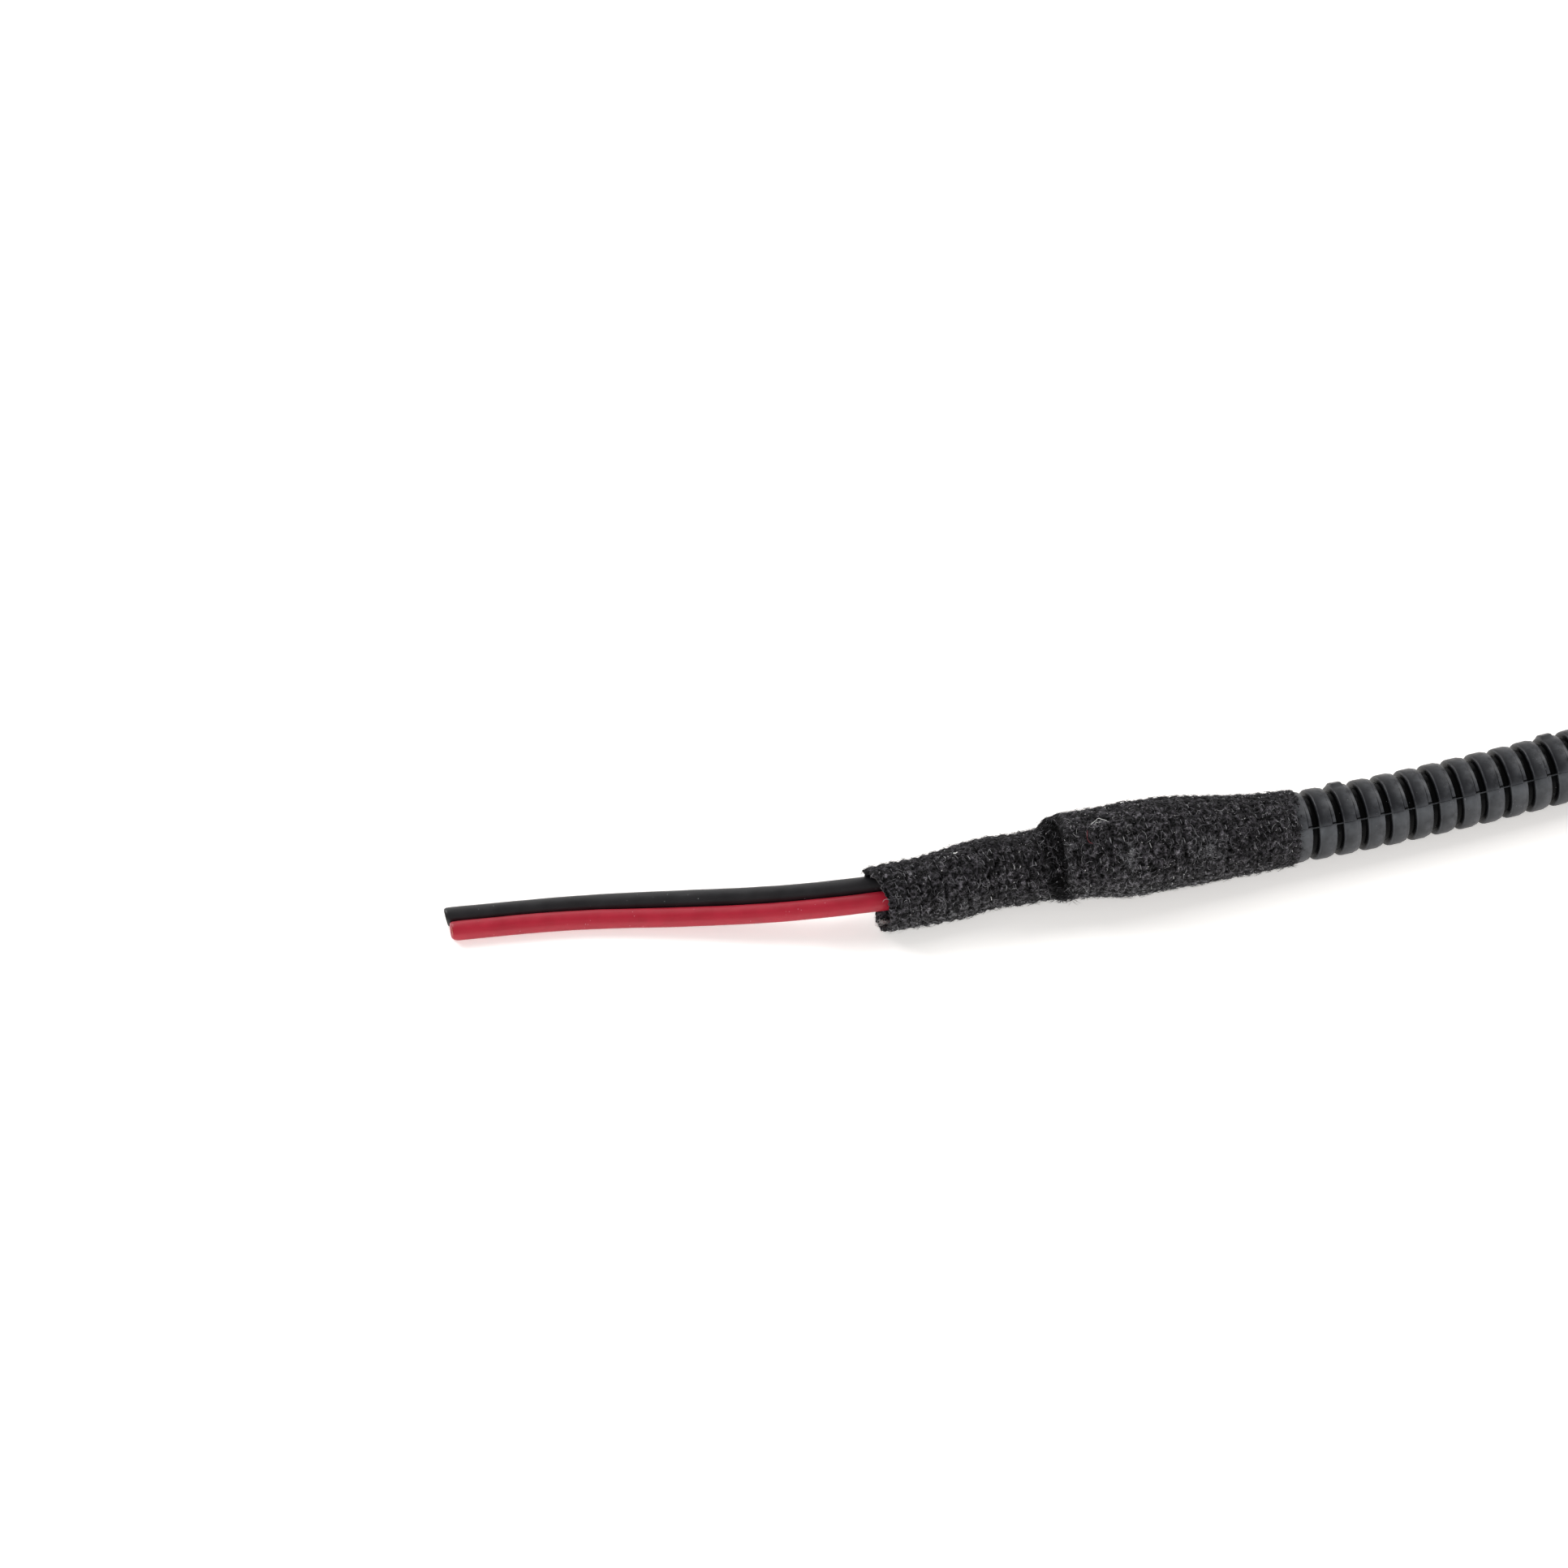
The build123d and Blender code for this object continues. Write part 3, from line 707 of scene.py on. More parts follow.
# Profile of one ring from groove centre to groove centre: (share of the pitch, radius in mm).
# The ring's far shoulder differs: beside the parting line it is a ledge behind a crease (above)
# or a dip (below), elsewhere a long chamfer.
RING_START = [(0.0, 4.15), (0.068, 4.18), (0.10, 4.38), (0.113, 4.62), (0.124, 4.80), (0.14, 4.89),
              (0.173, 4.96), (0.24, 5.0), (0.62, 5.0)]
CREASED_END = [(0.643, 4.98), (0.652, 4.86), (0.668, 4.86), (0.685, 4.87), (0.80, 4.84), (0.828, 4.76)]
DIPPED_END = [(0.643, 4.99), (0.652, 4.96), (0.668, 4.95), (0.685, 4.95), (0.80, 4.88), (0.828, 4.79)]
CHAMFERED_END = [(0.643, 4.985), (0.652, 4.97), (0.668, 4.95), (0.685, 4.93), (0.80, 4.82), (0.828, 4.74)]
RING_END = [(0.85, 4.60), (0.862, 4.44), (0.88, 4.30), (0.91, 4.18), (1.0, 4.15)]


def ring_radius(share, shoulder):
    profile = RING_START + shoulder + RING_END
    return np.interp(share, [p[0] for p in profile], [p[1] for p in profile]) * MM


def ring_shares():
    """Where a pitch is sampled: at every profile corner."""
    return np.array(sorted({p[0] for p in RING_START + CREASED_END + RING_END if p[0] < 1.0}))


def between(share, low, high):
    """Which rows lie in this stretch of the pitch, as a column for a grid."""
    return ((share > low) & (share < high))[:, None]


def conduit_angles():
    """Angles round the conduit, crowded at the parting line of each side."""
    fine = np.radians([-6.5, -4.4, -4.1, -1.7, -1.3, -0.7, 0.0, 0.7, 1.3, 3.4])
    sides = np.concatenate([PARTING_ANGLE + fine, PARTING_ANGLE + math.pi + fine])
    clear = math.radians(2.2)
    far_enough = [a for a in round_angles(66) if np.abs(short_way(a - sides)).min() > clear]
    return np.sort(np.concatenate([far_enough, sides % (2 * math.pi)]))


def past_parting(angles):
    """The signed angle from the nearer parting line."""
    return short_way(2 * (angles - PARTING_ANGLE)) / 2


def beside_slot(past):
    """A narrow slot in each ring's far shoulder runs just above the parting line."""
    return (past < math.radians(-1.5)) & (past > math.radians(-4.2))


def ring_surface(share, angles):
    """The conduit's radius on a grid of shares of a pitch and angles, with its parting lines."""
    past = past_parting(angles)
    beside = np.exp(-((past / math.radians(38)) ** 2))[None, :]
    upper = np.sin(angles - PARTING_ANGLE) < 0
    above = past < 0
    chamfered = ring_radius(share, CHAMFERED_END)[:, None]
    creased = ring_radius(share, CREASED_END)[:, None]
    dipped = ring_radius(share, DIPPED_END)[:, None]
    radius = chamfered + (np.where(above, creased, dipped) - chamfered) * beside
    radius = radius - np.where(upper, 0.0, 0.00003)[None, :]
    radius -= SLOT_DEPTH * beside_slot(past)[None, :] * between(share, 0.65, 0.85)
    web = np.abs(past) < math.radians(1.0)
    radius = np.where(web[None, :], np.maximum(radius, PARTING_FLOOR), radius)
    return radius - 0.00006 * (np.abs(past) < math.radians(0.3))[None, :]


def squeeze(s):
    """The tape pinches the conduit's hidden end narrower."""
    return 1.0 - 0.2 * np.exp(-(s / 0.0025) ** 2)[:, None]


def conduit_rows(line):
    """The rows along the conduit: their places, their shares of a pitch and their rings' numbers."""
    first_groove = line.at_x(GROOVE_AT_X)
    first = -math.ceil(first_groove / RING_PITCH)
    last = int((line.length - first_groove) / RING_PITCH) + 1
    ring, share = np.meshgrid(np.arange(first, last), ring_shares(), indexing="ij")
    s = first_groove + (ring + share).ravel() * RING_PITCH
    keep = (s >= 0) & (s <= line.length)
    return s[keep], share.ravel()[keep], ring.ravel()[keep]


def conduit_radius(line, s, share, ring, angles):
    """The moulded rings, with a raised mark on every ninth and a little unevenness."""
    radius = ring_surface(share, angles)
    crown = PARTING_ANGLE - math.pi / 2
    marked = ((ring - 1) % MARK_EVERY == 0) & between(share, 0.19, 0.64)[:, 0]
    pad = MARK_HEIGHT * np.clip(3.2 - np.abs(short_way(angles - crown)) / math.radians(5), 0, 1)
    radius[marked] += pad[None, :]
    surface = line.tube(s, angles, radius)
    radius += CONDUIT_GRAIN * roughness_at(surface, 420)
    rng = random.Random(11)
    first = ring.min()
    uneven = np.array([rng.uniform(-1, 1) for _ in range(ring.max() - first + 1)])
    return radius + CONDUIT_GRAIN * uneven[ring - first][:, None]


def conduit_marks(line, s, share, angles, radius):
    """What the material reads at each point: pale edges of wear and painted highlight, painted shade in the
    grooves, dust at the tape, a painted highlight beside the parting lines.
    """
    past = past_parting(angles)
    shoulder = (share < 0.17) | (share > 0.6)
    # Pale edges on the crests' shoulders: wear and a painted highlight.
    edge_wear_and_highlight = (radius > 0.0048) & shoulder[:, None]
    crease = np.exp(-(past / 0.9) ** 2) * (past < 0)
    crease = 0.95 * between(share, 0.648, 0.672) * crease[None, :]
    slot = 0.8 * between(share, 0.65, 0.85) * beside_slot(past)[None, :]
    # Painted shade mask for the groove floors, the crease and the slot.
    groove = np.maximum(np.clip((0.00476 - radius) / 0.0002, 0, 1), np.maximum(crease, slot))
    # Painted highlight mask: strongest just past each parting line (below it on the near side), fading
    # further round.
    parting_line_highlight = 0.36 + 0.64 * np.exp(-((past - 0.15) / 0.2) ** 2)
    parting_line_highlight *= np.clip((past + 0.14) / 0.2, 0, 1) * np.clip((1.5 - past) / 0.3, 0, 1)
    x = line.places(s)[:, 0]
    dusty = np.exp(-((x - TAPE_RIM_X - 0.0002) / 0.0005) ** 2)[:, None]
    return {"edge_wear_and_highlight": edge_wear_and_highlight, "groove": groove, "dusty": dusty, "parting_line_highlight": parting_line_highlight}


def make_conduit():
    line = CONDUIT_LINE
    angles = conduit_angles()
    s, share, ring = conduit_rows(line)
    radius = conduit_radius(line, s, share, ring, angles)
    marks = conduit_marks(line, s, share, angles, radius)
    maker = Maker()
    outer = maker.skin(maker.add(line.tube(s, angles, radius * squeeze(s)), **marks))
    inner_s = np.linspace(line.length, 0, 60)
    bore = CONDUIT_BORE_RADIUS * squeeze(inner_s)
    # Painted shade inside the bore, through the same mask.
    inner = maker.skin(maker.add(line.tube(inner_s, angles, bore), groove=0.4))
    maker.bridge(outer[-1], inner[0])
    maker.bridge(inner[-1], outer[0])
    piece = maker.build("corrugated_conduit_rings", conduit_plastic(), math.radians(38))
    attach(piece, "lead")
    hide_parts("corrugated_conduit")
    inside_rim = line.places(line.at_x(TAPE_RIM_X) - CORD_EXIT_DEPTH)


# ---- tape
STITCH_PITCH = 0.00155  # between columns of stitches, along the wrap
STITCH_LEAN = -0.14  # how far a stitch runs along the wrap for each unit round it
TAPE_WALL = 0.00045
THICK_WALL_AT_STEP = 0.0018  # the conduit's wrap is thicker where it starts, over its squeezed end
TAPE_BORE_RADIUS = 0.00508  # over the conduit, with a little air
CREASE_FLOOR = CONDUIT_RADIUS + 0.00014  # no crease cuts deeper than this over the conduit
TAPE_LAP = 0.0022  # how far the thin wrap runs on inside the thick one
STRAY_LIFT = 0.00014  # how far a stray hair lies over the nap
NEAR_ANGLE = math.radians(46)  # the side of the wrap that faces the camera
FLOOR_CLEARANCE = 0.00001

# Each wrap's own look: rows of stitches round it, depth of the nap and of the stitch valleys.
THIN = {"rows": 22, "nap": 0.000105, "valley": 0.00023, "pillow": 0.00009}
THICK = {"rows": 28, "nap": 0.000145, "valley": 0.00015, "pillow": 0.00007}

# Creases: x, slant along x for each radian, half width, middle angle, angular reach, depth. The depth also
# sets how much painted shade a crease gets; the broad shallow one at -0.0260 is mostly a painted shadow
# before the climb onto the conduit.
FOLDS = [
    (-0.0247, 0.0001, 0.0008, 35, 80, 0.00112),
    (-0.0260, 0.0001, 0.0012, 22, 46, 0.00018),
    (-0.0234, -0.0006, 0.00030, 112, 30, 0.00024),
    (-0.0080, 0.0001, 0.00030, 57, 30, 0.00026),
    (0.0030, 0.0004, 0.00042, 27, 45, 0.00022),
    (-0.0347, 0.0005, 0.00034, -3, 40, 0.00014),
]
# Pale patches: x, angle, half length, half angle, strength. The short ones are wear and fluff; the two long
# bands at 122 and 124 degrees, along the underside of each wrap, are painted light.
WEAR_AND_LIGHT = [
    (-0.0050, 62, 0.0024, 19, 1.0),
    (-0.0153, 57, 0.0008, 26, 1.0),
    (-0.0234, 55, 0.0008, 40, 0.7),
    (-0.0396, 92, 0.0045, 25, 0.5),
    (-0.0122, 122, 0.0130, 24, 1.0),
    (-0.0380, 124, 0.0110, 24, 0.7),
]


def step_shift(angle):
    """The climb onto the conduit isn't square to the wrap: it starts earlier on the underside."""
    a = angle - NEAR_ANGLE
    return MM * (-0.6 + 0.9 * np.cos(a) - 0.75 * np.sin(a))


def outline_radius(x):
    xs = [row[0] for row in TAPE_OUTLINE]
    rs = [row[3] for row in TAPE_OUTLINE]
    reach = (-0.0005, 0.0, 0.0005)
    return sum(np.interp(x + d, xs, rs) for d in reach) / len(reach)


def mouth_shift(angles):
    """The mouth's ragged rim isn't square: it stands back on the near side and has a lip underneath."""
    a = angles - NEAR_ANGLE
    ragged = 0.10 * np.sin(9 * a + 1) + 0.06 * np.sin(23 * a) + 0.04 * np.sin(41 * a + 2)
    lip = 0.7 * np.exp(-(apart(angles, 178) / math.radians(32)) ** 2)
    return MM * (0.62 + 0.12 * np.cos(a) + 0.78 * np.sin(a) + 0.4 * np.cos(2 * a) + ragged - lip)


def rim_shift(angles):
    a = angles - NEAR_ANGLE
    ragged = 0.09 * np.sin(8 * a + 2) + 0.07 * np.sin(19 * a) + 0.04 * np.sin(37 * a + 1)
    return MM * (0.2 - 0.3 * np.cos(a) - 0.45 * np.sin(a) + ragged)


def fold_depth(x, angle):
    depth = 0
    for x0, slant, width, middle, reach, deep in FOLDS:
        away = apart(angle, middle)
        wobble = 0.00012 * np.sin(6 * away)
        across = (x - x0 - slant * away - wobble) / width
        depth = depth + deep * np.exp(-across**2 - (away / math.radians(reach)) ** 2)
    return depth


def worn_share(x, angle):
    share = 0
    for x0, middle, half_length, half_angle, strength in WEAR_AND_LIGHT:
        across = (x - x0) / half_length
        round_way = apart(angle, middle) / math.radians(half_angle)
        share = share + strength * np.exp(-across**2 - round_way**2)
    return np.clip(share, 0, 1)


def stitch_grid(s, angle, rows, wander):
    """How deep a place lies in a stitch's valley, and how high on the pillow between stitches."""
    row = angle / (2 * math.pi) * rows + 0.2 * wander
    along_row = row - np.floor(row) - 0.5
    column = s / STITCH_PITCH + STITCH_LEAN * along_row + 0.14 * wander
    off_column = (column - np.round(column)) * STITCH_PITCH
    hole = np.exp(-((np.abs(along_row) - 0.5) / 0.16) ** 2)
    valley = np.exp(-(off_column / 0.0002) ** 2) * (0.4 + 0.6 * hole)
    pillow = -0.6 * np.cos(2 * math.pi * column) + 0.4 * np.cos(2 * math.pi * along_row)
    return valley, pillow


def tape_surface(s, angle, look):
    """The wrap's outside radius, then its painted shade in the pits, its painted shade in the creases and
    its share of pale wear and painted light. s and angle broadcast.
    """
    s, angle = np.broadcast_arrays(s, angle)
    x = np.interp(s, TAPE_LINE.along, TAPE_LINE.points[:, 0])
    on_conduit = x > CONDUIT_ROUTE[0][0] - 0.0004
    x = x - step_shift(angle) * np.exp(-((x + 0.0248) / 0.004) ** 2)
    plain = outline_radius(x)
    place = TAPE_LINE.around(s, angle, plain)
    lumps = 0.00011 * roughness_at(place, 210) + 0.00008 * roughness_at(place, 560, 3.0)
    nap = 0.55 * roughness_at(place, 1700, 9.0) + 0.65 * roughness_at(place, 3300, 5.0)
    valley, pillow = stitch_grid(s, angle, look["rows"], roughness_at(place, 330, 2.0))
    fold = fold_depth(x, angle)
    radius = plain + lumps + look["nap"] * nap + look["pillow"] * pillow - look["valley"] * valley - fold
    cut_through = on_conduit & (fold > 0.00005) & (radius < CREASE_FLOOR)
    radius = np.where(cut_through, CREASE_FLOOR, radius)
    # Painted shade mask: dark where the nap is low and in the stitch valleys.
    pit = np.clip(0.30 - 1.1 * nap - 0.16 * pillow + 0.7 * valley, 0, 1)
    # The crease share returned here sets the painted shade in the creases.
    return radius, pit, np.clip(fold / 0.00028, 0, 1), worn_share(x, angle)


def settle(points):
    """Nothing sinks into the surface that the lead lies on."""
    points[..., 2] = np.maximum(points[..., 2], FLOOR_CLEARANCE)
    return points


def wrap_piece(name, x_start, x_end, rows, columns, start_shift, end_shift, look, material, inner_radius):
    """One wrap as a closed shell. Returns it and the grid of its outside."""
    angles = round_angles(columns)
    x = np.linspace(x_start, x_end, rows)
    share = ((x - x_start) / (x_end - x_start))[:, None]
    moved_x = x[:, None] + start_shift(angles) * (1 - share) ** 3 + end_shift(angles) * share**3
    s = np.interp(moved_x, TAPE_LINE.points[:, 0], TAPE_LINE.along)
    radius, pit, fold, worn = tape_surface(s, angles[None, :], look)
    radius[0] -= 0.00014
    radius[-1] -= 0.00008
    outside = settle(TAPE_LINE.around(s, angles[None, :], radius))
    maker = Maker()
    outer = maker.skin(maker.add(outside, pit=pit, fold=fold, worn=worn))
    few = np.concatenate([np.arange(0, rows - 1, 8), [rows - 1]])[::-1]
    wall = inner_radius(x[few])[:, None]
    # The inside face gets painted shade too.
    inner = maker.skin(maker.add(TAPE_LINE.around(s[few], angles[None, :], wall), pit=0.3))
    maker.bridge(outer[-1], inner[0])
    maker.bridge(inner[-1], outer[0])
    return maker.build(name, material), outside


def thin_bore(x):
    return outline_radius(np.minimum(x, TAPE_STEP_X - 0.002)) - TAPE_WALL


def thick_bore(x):
    at_step = x < TAPE_STEP_X + TAPE_LAP
    return np.where(at_step, outline_radius(x) - THICK_WALL_AT_STEP, TAPE_BORE_RADIUS)


def finish_tape(piece):
    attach(piece, "lead")


def make_tape(fleece):
    square = np.zeros_like
    thin, thin_grid = wrap_piece("wire_tape", TAPE_MOUTH_X, TAPE_STEP_X + TAPE_LAP, 225, 300,
                                 mouth_shift, square, THIN, fleece, thin_bore)
    thick, thick_grid = wrap_piece("conduit_tape", TAPE_STEP_X - 0.0002, TAPE_RIM_X, 280, 300,
                                   square, rim_shift, THICK, fleece, thick_bore)
    for piece, node in ((thin, "wire_tape_wrap"), (thick, "conduit_tape_wrap")):
        finish_tape(piece)
        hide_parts(node)
    return thin_grid, thick_grid


def fibre_tubes(maker, centres, radius, tone):
    """Closed three-sided tubes along many short paths at once: centres is (fibres, steps, 3)."""
    along = np.gradient(centres, axis=1)
    along /= np.linalg.norm(along, axis=-1, keepdims=True)
    side = np.cross(along, np.array([0.31, 0.22, 0.92]))
    side /= np.linalg.norm(side, axis=-1, keepdims=True)
    other = np.cross(along, side)
    turn = round_angles(3)[:, None]
    taper = np.ones(centres.shape[1])
    taper[[0, -1]] = 0.45
    reach = (np.asarray(radius)[:, None] * taper)[..., None, None]
    outward = np.cos(turn) * side[:, :, None] + np.sin(turn) * other[:, :, None]
    rings = settle(centres[:, :, None] + reach * outward)
    numbers = maker.add(rings, tone=np.asarray(tone)[:, None, None])
    following = np.roll(numbers, -1, axis=2)
    near, far = numbers[:, :-1], numbers[:, 1:]
    quads = np.stack([near, following[:, :-1], following[:, 1:], far], axis=-1)
    maker.faces.append(quads.reshape(-1, 4))
    for ring, order in ((numbers[:, 0], (0, 2, 1)), (numbers[:, -1], (0, 1, 2))):
        end = ring[:, order]
        maker.faces.append(np.concatenate([end, end[:, 2:]], axis=1))


def surface_frame(grid, i, j):
    """Places on a wrap, and the directions along it, round it and out of it."""
    columns = grid.shape[1]
    along = grid[i + 2, j] - grid[i - 2, j]
    round_way = grid[i, (j + 3) % columns] - grid[i, (j - 3) % columns]
    along /= np.linalg.norm(along, axis=-1, keepdims=True)
    outward = np.cross(round_way, along)
    outward /= np.linalg.norm(outward, axis=-1, keepdims=True)
    return grid[i, j], along, np.cross(along, outward), outward


WRAP_RADIUS = 0.0058  # about how the wrap curves away under a fibre


def curls(place, along, round_way, outward, rng, lengths, lift, curl):
    """Paths of fibres that leave the nap, arch over it and come back down."""
    count = len(place)
    t = np.linspace(0, 1, 6)
    bend = rng.uniform(-curl, curl, count)[:, None] * t
    heading = rng.uniform(0, 2 * math.pi, count)[:, None] + bend
    length = rng.uniform(*lengths, count)[:, None]
    step = length * np.diff(t, prepend=0.0)
    x = np.cumsum(np.cos(heading) * step, axis=1)
    y = np.cumsum(np.sin(heading) * step, axis=1)
    rise = lift * rng.uniform(0.05, 1.0, count)[:, None] ** 2 * np.sin(np.pi * t * 0.92)
    round_drop = y**2 / (2 * WRAP_RADIUS)
    out = rise - round_drop
    return (place[:, None] + x[..., None] * along[:, None] + y[..., None] * round_way[:, None]
            + out[..., None] * outward[:, None])


def scattered(grid, count, rng):
    """The surface frame at random places of a wrap."""
    i = rng.integers(2, grid.shape[0] - 3, count)
    j = rng.integers(0, grid.shape[1], count)
    return surface_frame(grid, i, j)


def fibres_on(name, grid, count, seed, lift, material):
    """Loose fibres over one wrap: mostly charcoal, some grey, and short bits that are nearly white."""
    rng = np.random.default_rng(seed)
    maker = Maker()
    centres = curls(*scattered(grid, count, rng), rng, (0.0004, 0.0016), lift, 2.6)
    fibre_tubes(maker, centres, rng.uniform(0.000014, 0.000026, count), 0.95 * rng.random(count) ** 1.9)
    bits = count // 30
    centres = curls(*scattered(grid, bits, rng), rng, (0.00008, 0.00028), 0.00008, 1.0)
    fibre_tubes(maker, centres, rng.uniform(0.00003, 0.00006, bits), rng.uniform(0.9, 1.0, bits))
    finish_tape(maker.build(name, material))


def stitches_on(name, x_start, x_end, look, seed, keep, material):
    """The stitching: a short slanted thread in each valley, diving into the fleece at both ends."""
    rng = np.random.default_rng(seed)
    first = math.ceil(TAPE_LINE.at_x(x_start) / STITCH_PITCH)
    columns = np.arange(first, TAPE_LINE.at_x(x_end) / STITCH_PITCH)
    row, column = [part.ravel() for part in np.meshgrid(np.arange(look["rows"]), columns)]
    chosen = rng.random(len(row)) < keep
    row, column = row[chosen, None], column[chosen, None]
    t = np.linspace(-0.5, 0.5, 6)[None, :] * rng.uniform(0.35, 0.8, len(row))[:, None]
    angle = (row + 0.5 + t) * 2 * math.pi / look["rows"]
    s = (column - STITCH_LEAN * t + rng.normal(0, 0.03, row.shape)) * STITCH_PITCH
    radius = tape_surface(s, angle, look)[0]
    dive = 0.00005 - 0.0002 * (2 * np.abs(t)) ** 2
    maker = Maker()
    thickness = rng.uniform(0.000045, 0.00007, len(row))
    tone = 0.5 + 0.46 * rng.random(len(row)) ** 1.6
    fibre_tubes(maker, TAPE_LINE.around(s, angle, radius + dive), thickness, tone)
    finish_tape(maker.build(name, material))


# Tufts: x, angle, number of fibres, spread, range of tones, height over the nap.
TUFTS = [
    (-0.0257, 135, 60, 0.0004, (0.2, 0.85), 0.0),
    (-0.0210, 133, 30, 0.0003, (0.2, 0.8), 0.0),
    (-0.0285, -41, 25, 0.0003, (0.2, 0.8), 0.0),
    (-0.0188, 9, 14, 0.0003, (0.8, 0.97), 0.0),
    (-0.0050, 60, 90, 0.0012, (0.55, 0.93), 0.0),
    (-0.0153, 56, 60, 0.0006, (0.55, 0.95), 0.0),
    (-0.0487, 172, 90, 0.0002, (0.96, 1.0), -0.0006),
]


def tuft(maker, x, angle_degrees, count, spread, rng, tones, height):
    """A small cluster of fibres at one place on the wrap."""
    s = TAPE_LINE.at_x(x) + rng.normal(0, spread, count)
    angle = math.radians(angle_degrees) + rng.normal(0, spread / 0.006, count)
    look = THIN if x < TAPE_STEP_X else THICK
    radius = tape_surface(s, angle, look)[0] + height
    place, along, up, right = TAPE_LINE.frames(s)
    outward = np.cos(angle)[:, None] * up + np.sin(angle)[:, None] * right
    here = place + radius[:, None] * outward
    centres = curls(here, along, np.cross(along, outward), outward, rng, (0.0004, 0.0011), 0.0005, 3.0)
    fibre_tubes(maker, centres, rng.uniform(0.000016, 0.00003, count), rng.uniform(*tones, count))


def make_tufts(material):
    rng = np.random.default_rng(21)
    maker = Maker()
    for x, angle, count, spread, tones, height in TUFTS:
        tuft(maker, x, angle, count, spread, rng, tones, height)
    finish_tape(maker.build("tape_tufts", material))


def stray(name, material, places, radius):
    """One stray hair or flake on the tape, through (x, angle) places."""
    x = np.array([place[0] for place in places])
    angle = np.radians([place[1] for place in places])
    t = np.linspace(0, len(places) - 1, 12)
    knots = np.arange(len(places))
    s = np.interp(np.interp(t, knots, x), TAPE_LINE.points[:, 0], TAPE_LINE.along)
    angle = np.interp(t, knots, angle)
    look = THIN if x[0] < TAPE_STEP_X else THICK
    out = tape_surface(s, angle, look)[0] + radius + STRAY_LIFT
    maker = Maker()
    fibre_tubes(maker, TAPE_LINE.around(s, angle, out)[None], [radius], [1.0])
    finish_tape(maker.build(name, material))


def make_strays():
    white = stray_fibre("stray_white", (0.8, 0.8, 0.78))
    red = stray_fibre("stray_red", (0.27, 0.05, 0.06))
    curl = [(-0.0196, 8), (-0.0190, 2), (-0.0185, -2), (-0.0179, 2), (-0.0172, 6)]
    bow = [(-0.0201, 15), (-0.0202, 21), (-0.0203, 26), (-0.0201, 32), (-0.0196, 35)]
    stray("white_hair", white, curl, 0.000034)
    stray("red_hair", red, bow, 0.000025)
    stray("white_flake", white, [(-0.0384, -6), (-0.0381, -7), (-0.0378, -6.5)], 0.00008)


# ---- the connector's CAD parts
def finish_connector():
    housing = moulded_plastic("housing_plastic", (0.020, 0.020, 0.022), (0.032, 0.032, 0.035), 0.5)
    adapter = moulded_plastic("adapter_plastic", (0.026, 0.026, 0.028), (0.040, 0.040, 0.043), 0.55, 2200.0)
    lock = moulded_plastic("lock_plastic", (0.42, 0.43, 0.42), (0.52, 0.53, 0.52), 0.45, 3000.0)
    ring = silicone("seal_silicone", (0.36, 0.075, 0.03), (0.45, 0.11, 0.045))
    pale = silicone("wire_seal_silicone", (0.36, 0.36, 0.31), (0.45, 0.45, 0.39))
    tin = plated_metal("tin_plate", (0.55, 0.55, 0.53), (0.78, 0.78, 0.75), 0.3)
    steel = plated_metal("cage_steel", (0.38, 0.38, 0.4), (0.6, 0.6, 0.62), 0.28)
    finishes = {
        "connector_housing": housing, "latch_lever": housing, "front_lock": lock,
        "adapter_base": adapter, "adapter_cover": adapter,
        "interface_seal": ring, "red_wire_seal": pale, "black_wire_seal": pale,
        "red_terminal": tin, "black_terminal": tin,
        "red_terminal_cage": steel, "black_terminal_cage": steel,
    }
    for name, material in finishes.items():
        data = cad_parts[name].data
        data.materials.clear()
        data.materials.append(material)


# ---- floor and light
def glowing_paint(name, strength):
    """Pale paint that glows a little, as a light table does."""
    n = Nodes(name, roughness=0.9)
    paint = n.mottle(n.noise(6, detail=2), (0.92, 0.90, 0.88), (0.94, 0.92, 0.90))
    n.colour(paint)
    n.link(paint, n.shader.inputs["Emission Color"])
    n.shader.inputs["Emission Strength"].default_value = strength
    return n.material


def make_floor():
    side, drop = 3.0, 0.00002
    mesh = bpy.data.meshes.new("floor")
    corners = [(-side, -side, -drop), (side, -side, -drop), (side, side, -drop), (-side, side, -drop)]
    mesh.from_pydata(corners, [], [(0, 1, 2, 3)])
    mesh.materials.append(glowing_paint("floor_paint", 0.35))
    place_object("floor", mesh)


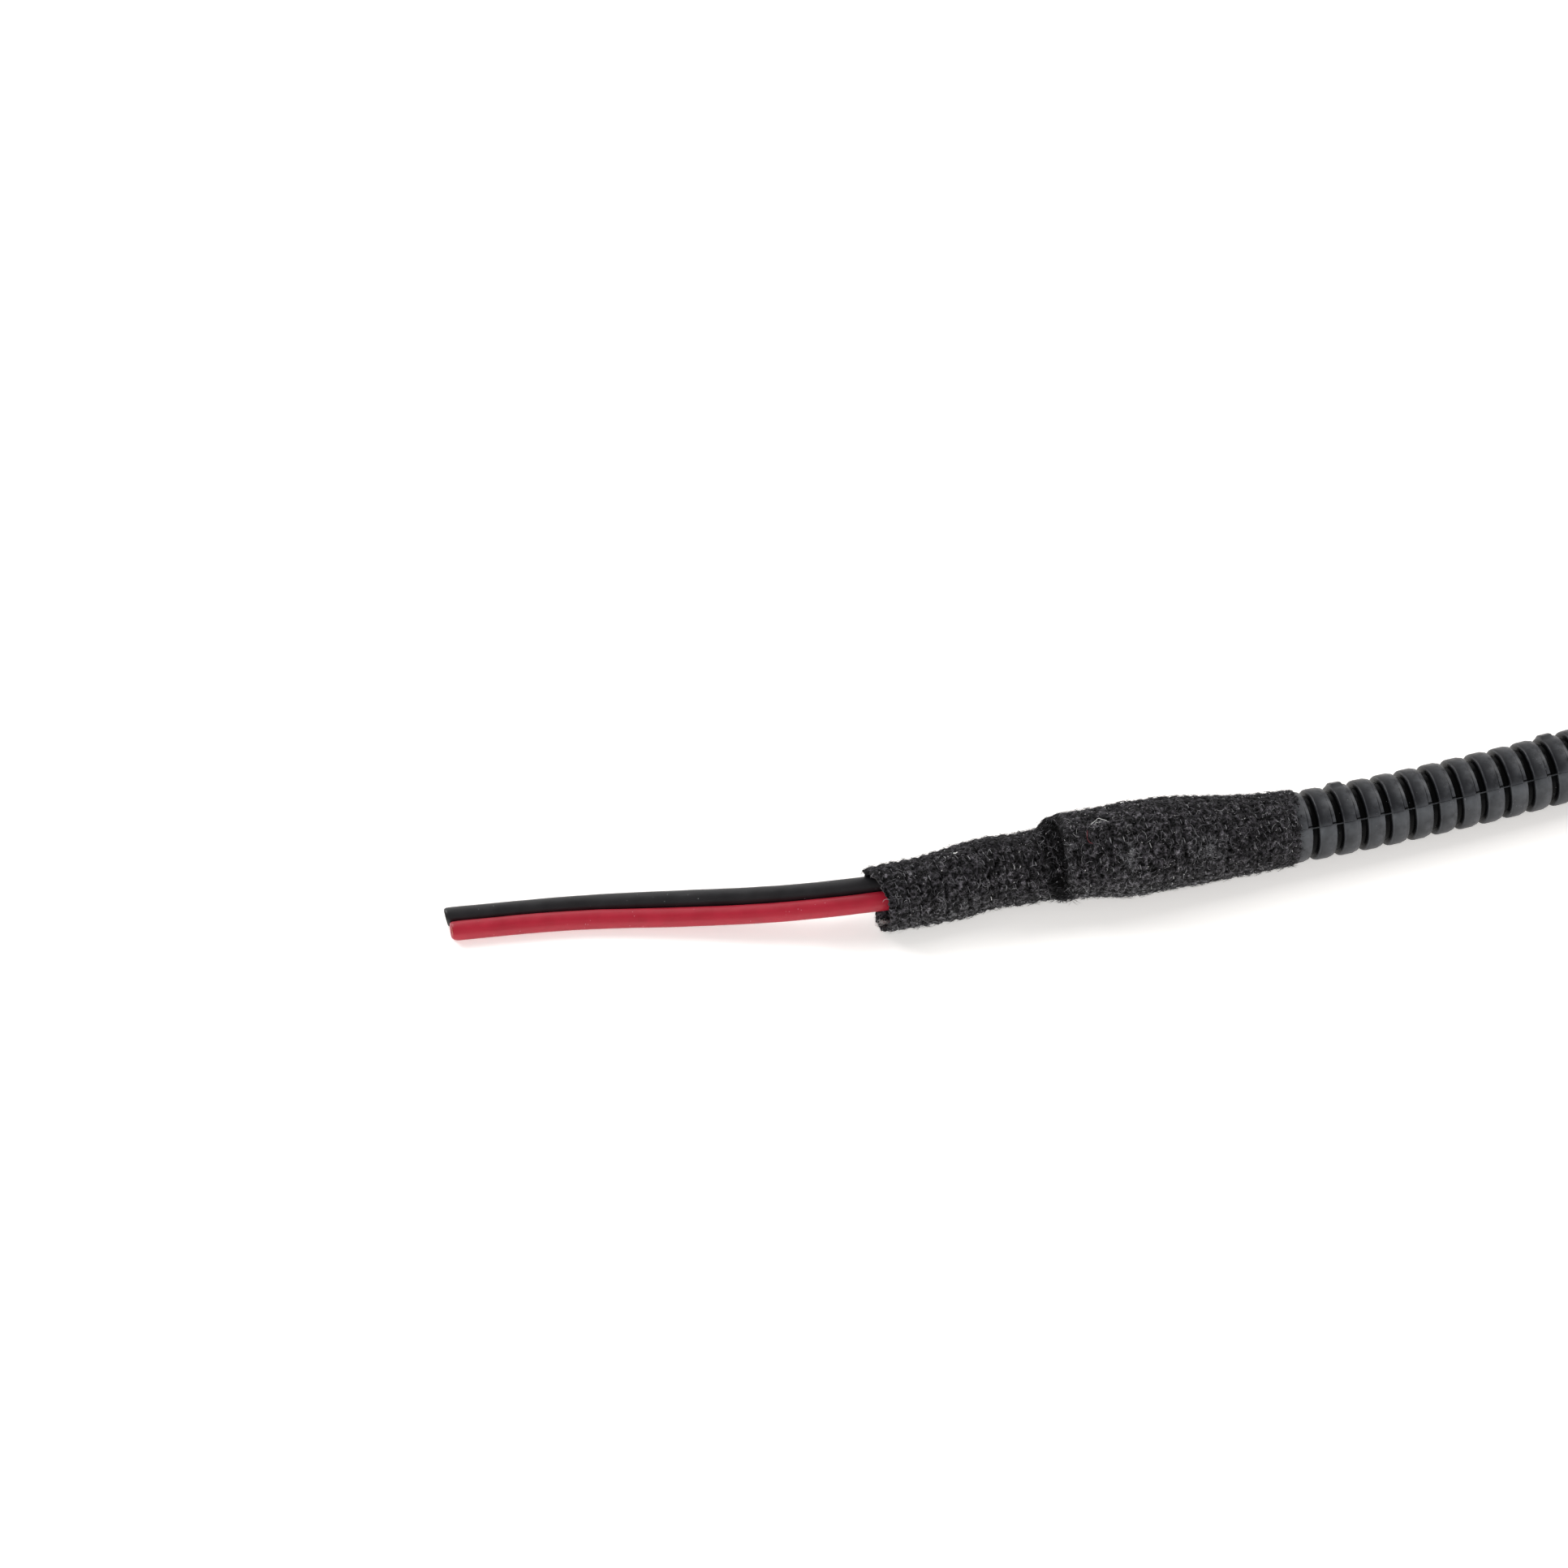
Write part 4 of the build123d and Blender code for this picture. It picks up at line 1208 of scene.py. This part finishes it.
def make_backdrop():
    """A white wall round the floor, for low views. It is only seen: it lights and mirrors nothing."""
    radius, height, sides = 1.8, 1.2, 48
    ring = [(radius * math.cos(a), radius * math.sin(a)) for a in round_angles(sides)]
    points = [(x, y, z) for z in (-0.01, height) for x, y in ring]
    panels = [(i, (i + 1) % sides, sides + (i + 1) % sides, sides + i) for i in range(sides)]
    mesh = bpy.data.meshes.new("backdrop")
    mesh.from_pydata(points, [], panels)
    mesh.materials.append(glowing_paint("backdrop_paint", 1.0))
    wall = place_object("backdrop", mesh)
    wall.visible_diffuse = False
    wall.visible_glossy = False
    wall.visible_transmission = False
    wall.visible_shadow = False


def area_light(name, place, size, power, diffuse=True, glossy=True):
    """A square soft box that faces the lead, and may light only matt or only shiny surfaces."""
    data = bpy.data.lights.new(name, "AREA")
    data.shape = "SQUARE"
    data.size = size
    data.energy = power
    lamp = place_object(name, data)
    lamp.location = place
    lamp.rotation_euler = (-Vector(place)).to_track_quat("-Z", "Y").to_euler()
    lamp.visible_diffuse = diffuse
    lamp.visible_glossy = glossy


def make_light():
    """Soft boxes at both sides, a front fill and a back card; a dim sky keeps black plastic black.

    The floor glows a little as well, as a light table does, so the shadow stays pale.
    """
    world = bpy.data.worlds.new("world")
    world.use_nodes = True
    world.node_tree.nodes["Background"].inputs["Color"].default_value = (1.0, 1.0, 1.0, 1.0)
    world.node_tree.nodes["Background"].inputs["Strength"].default_value = 0.3
    bpy.context.scene.world = world
    bpy.context.scene.view_settings.view_transform = "Standard"
    area_light("front_fill", (-0.06, -1.3, 0.75), 0.9, 13.0, glossy=False)
    area_light("back_card", (-0.06, 1.4, 0.7), 1.1, 3.5, diffuse=False)
    area_light("left_soft", (-1.1, 0.7, 1.1), 1.0, 16.0)
    area_light("right_soft", (1.1, 0.7, 1.1), 1.0, 16.0)


fleece = fleece_tape()
fibre_look = fibre_material()
make_wires()
make_conduit()
thin_grid, thick_grid = make_tape(fleece)
fibres_on("wire_tape_fibres", thin_grid, 5000, 3, 0.00016, fibre_look)
fibres_on("conduit_tape_fibres", thick_grid, 5600, 4, 0.00028, fibre_look)
fibres_on("conduit_tape_fibres_2", thick_grid, 5600, 5, 0.00018, fibre_look)
stitches_on("wire_tape_stitches", TAPE_MOUTH_X + 0.0012, TAPE_STEP_X, THIN, 6, 0.85, fibre_look)
stitches_on("conduit_tape_stitches", TAPE_STEP_X + 0.0012, TAPE_RIM_X, THICK, 7, 0.6, fibre_look)
make_tufts(fibre_look)
make_strays()
finish_connector()
make_floor()
make_backdrop()
make_light()
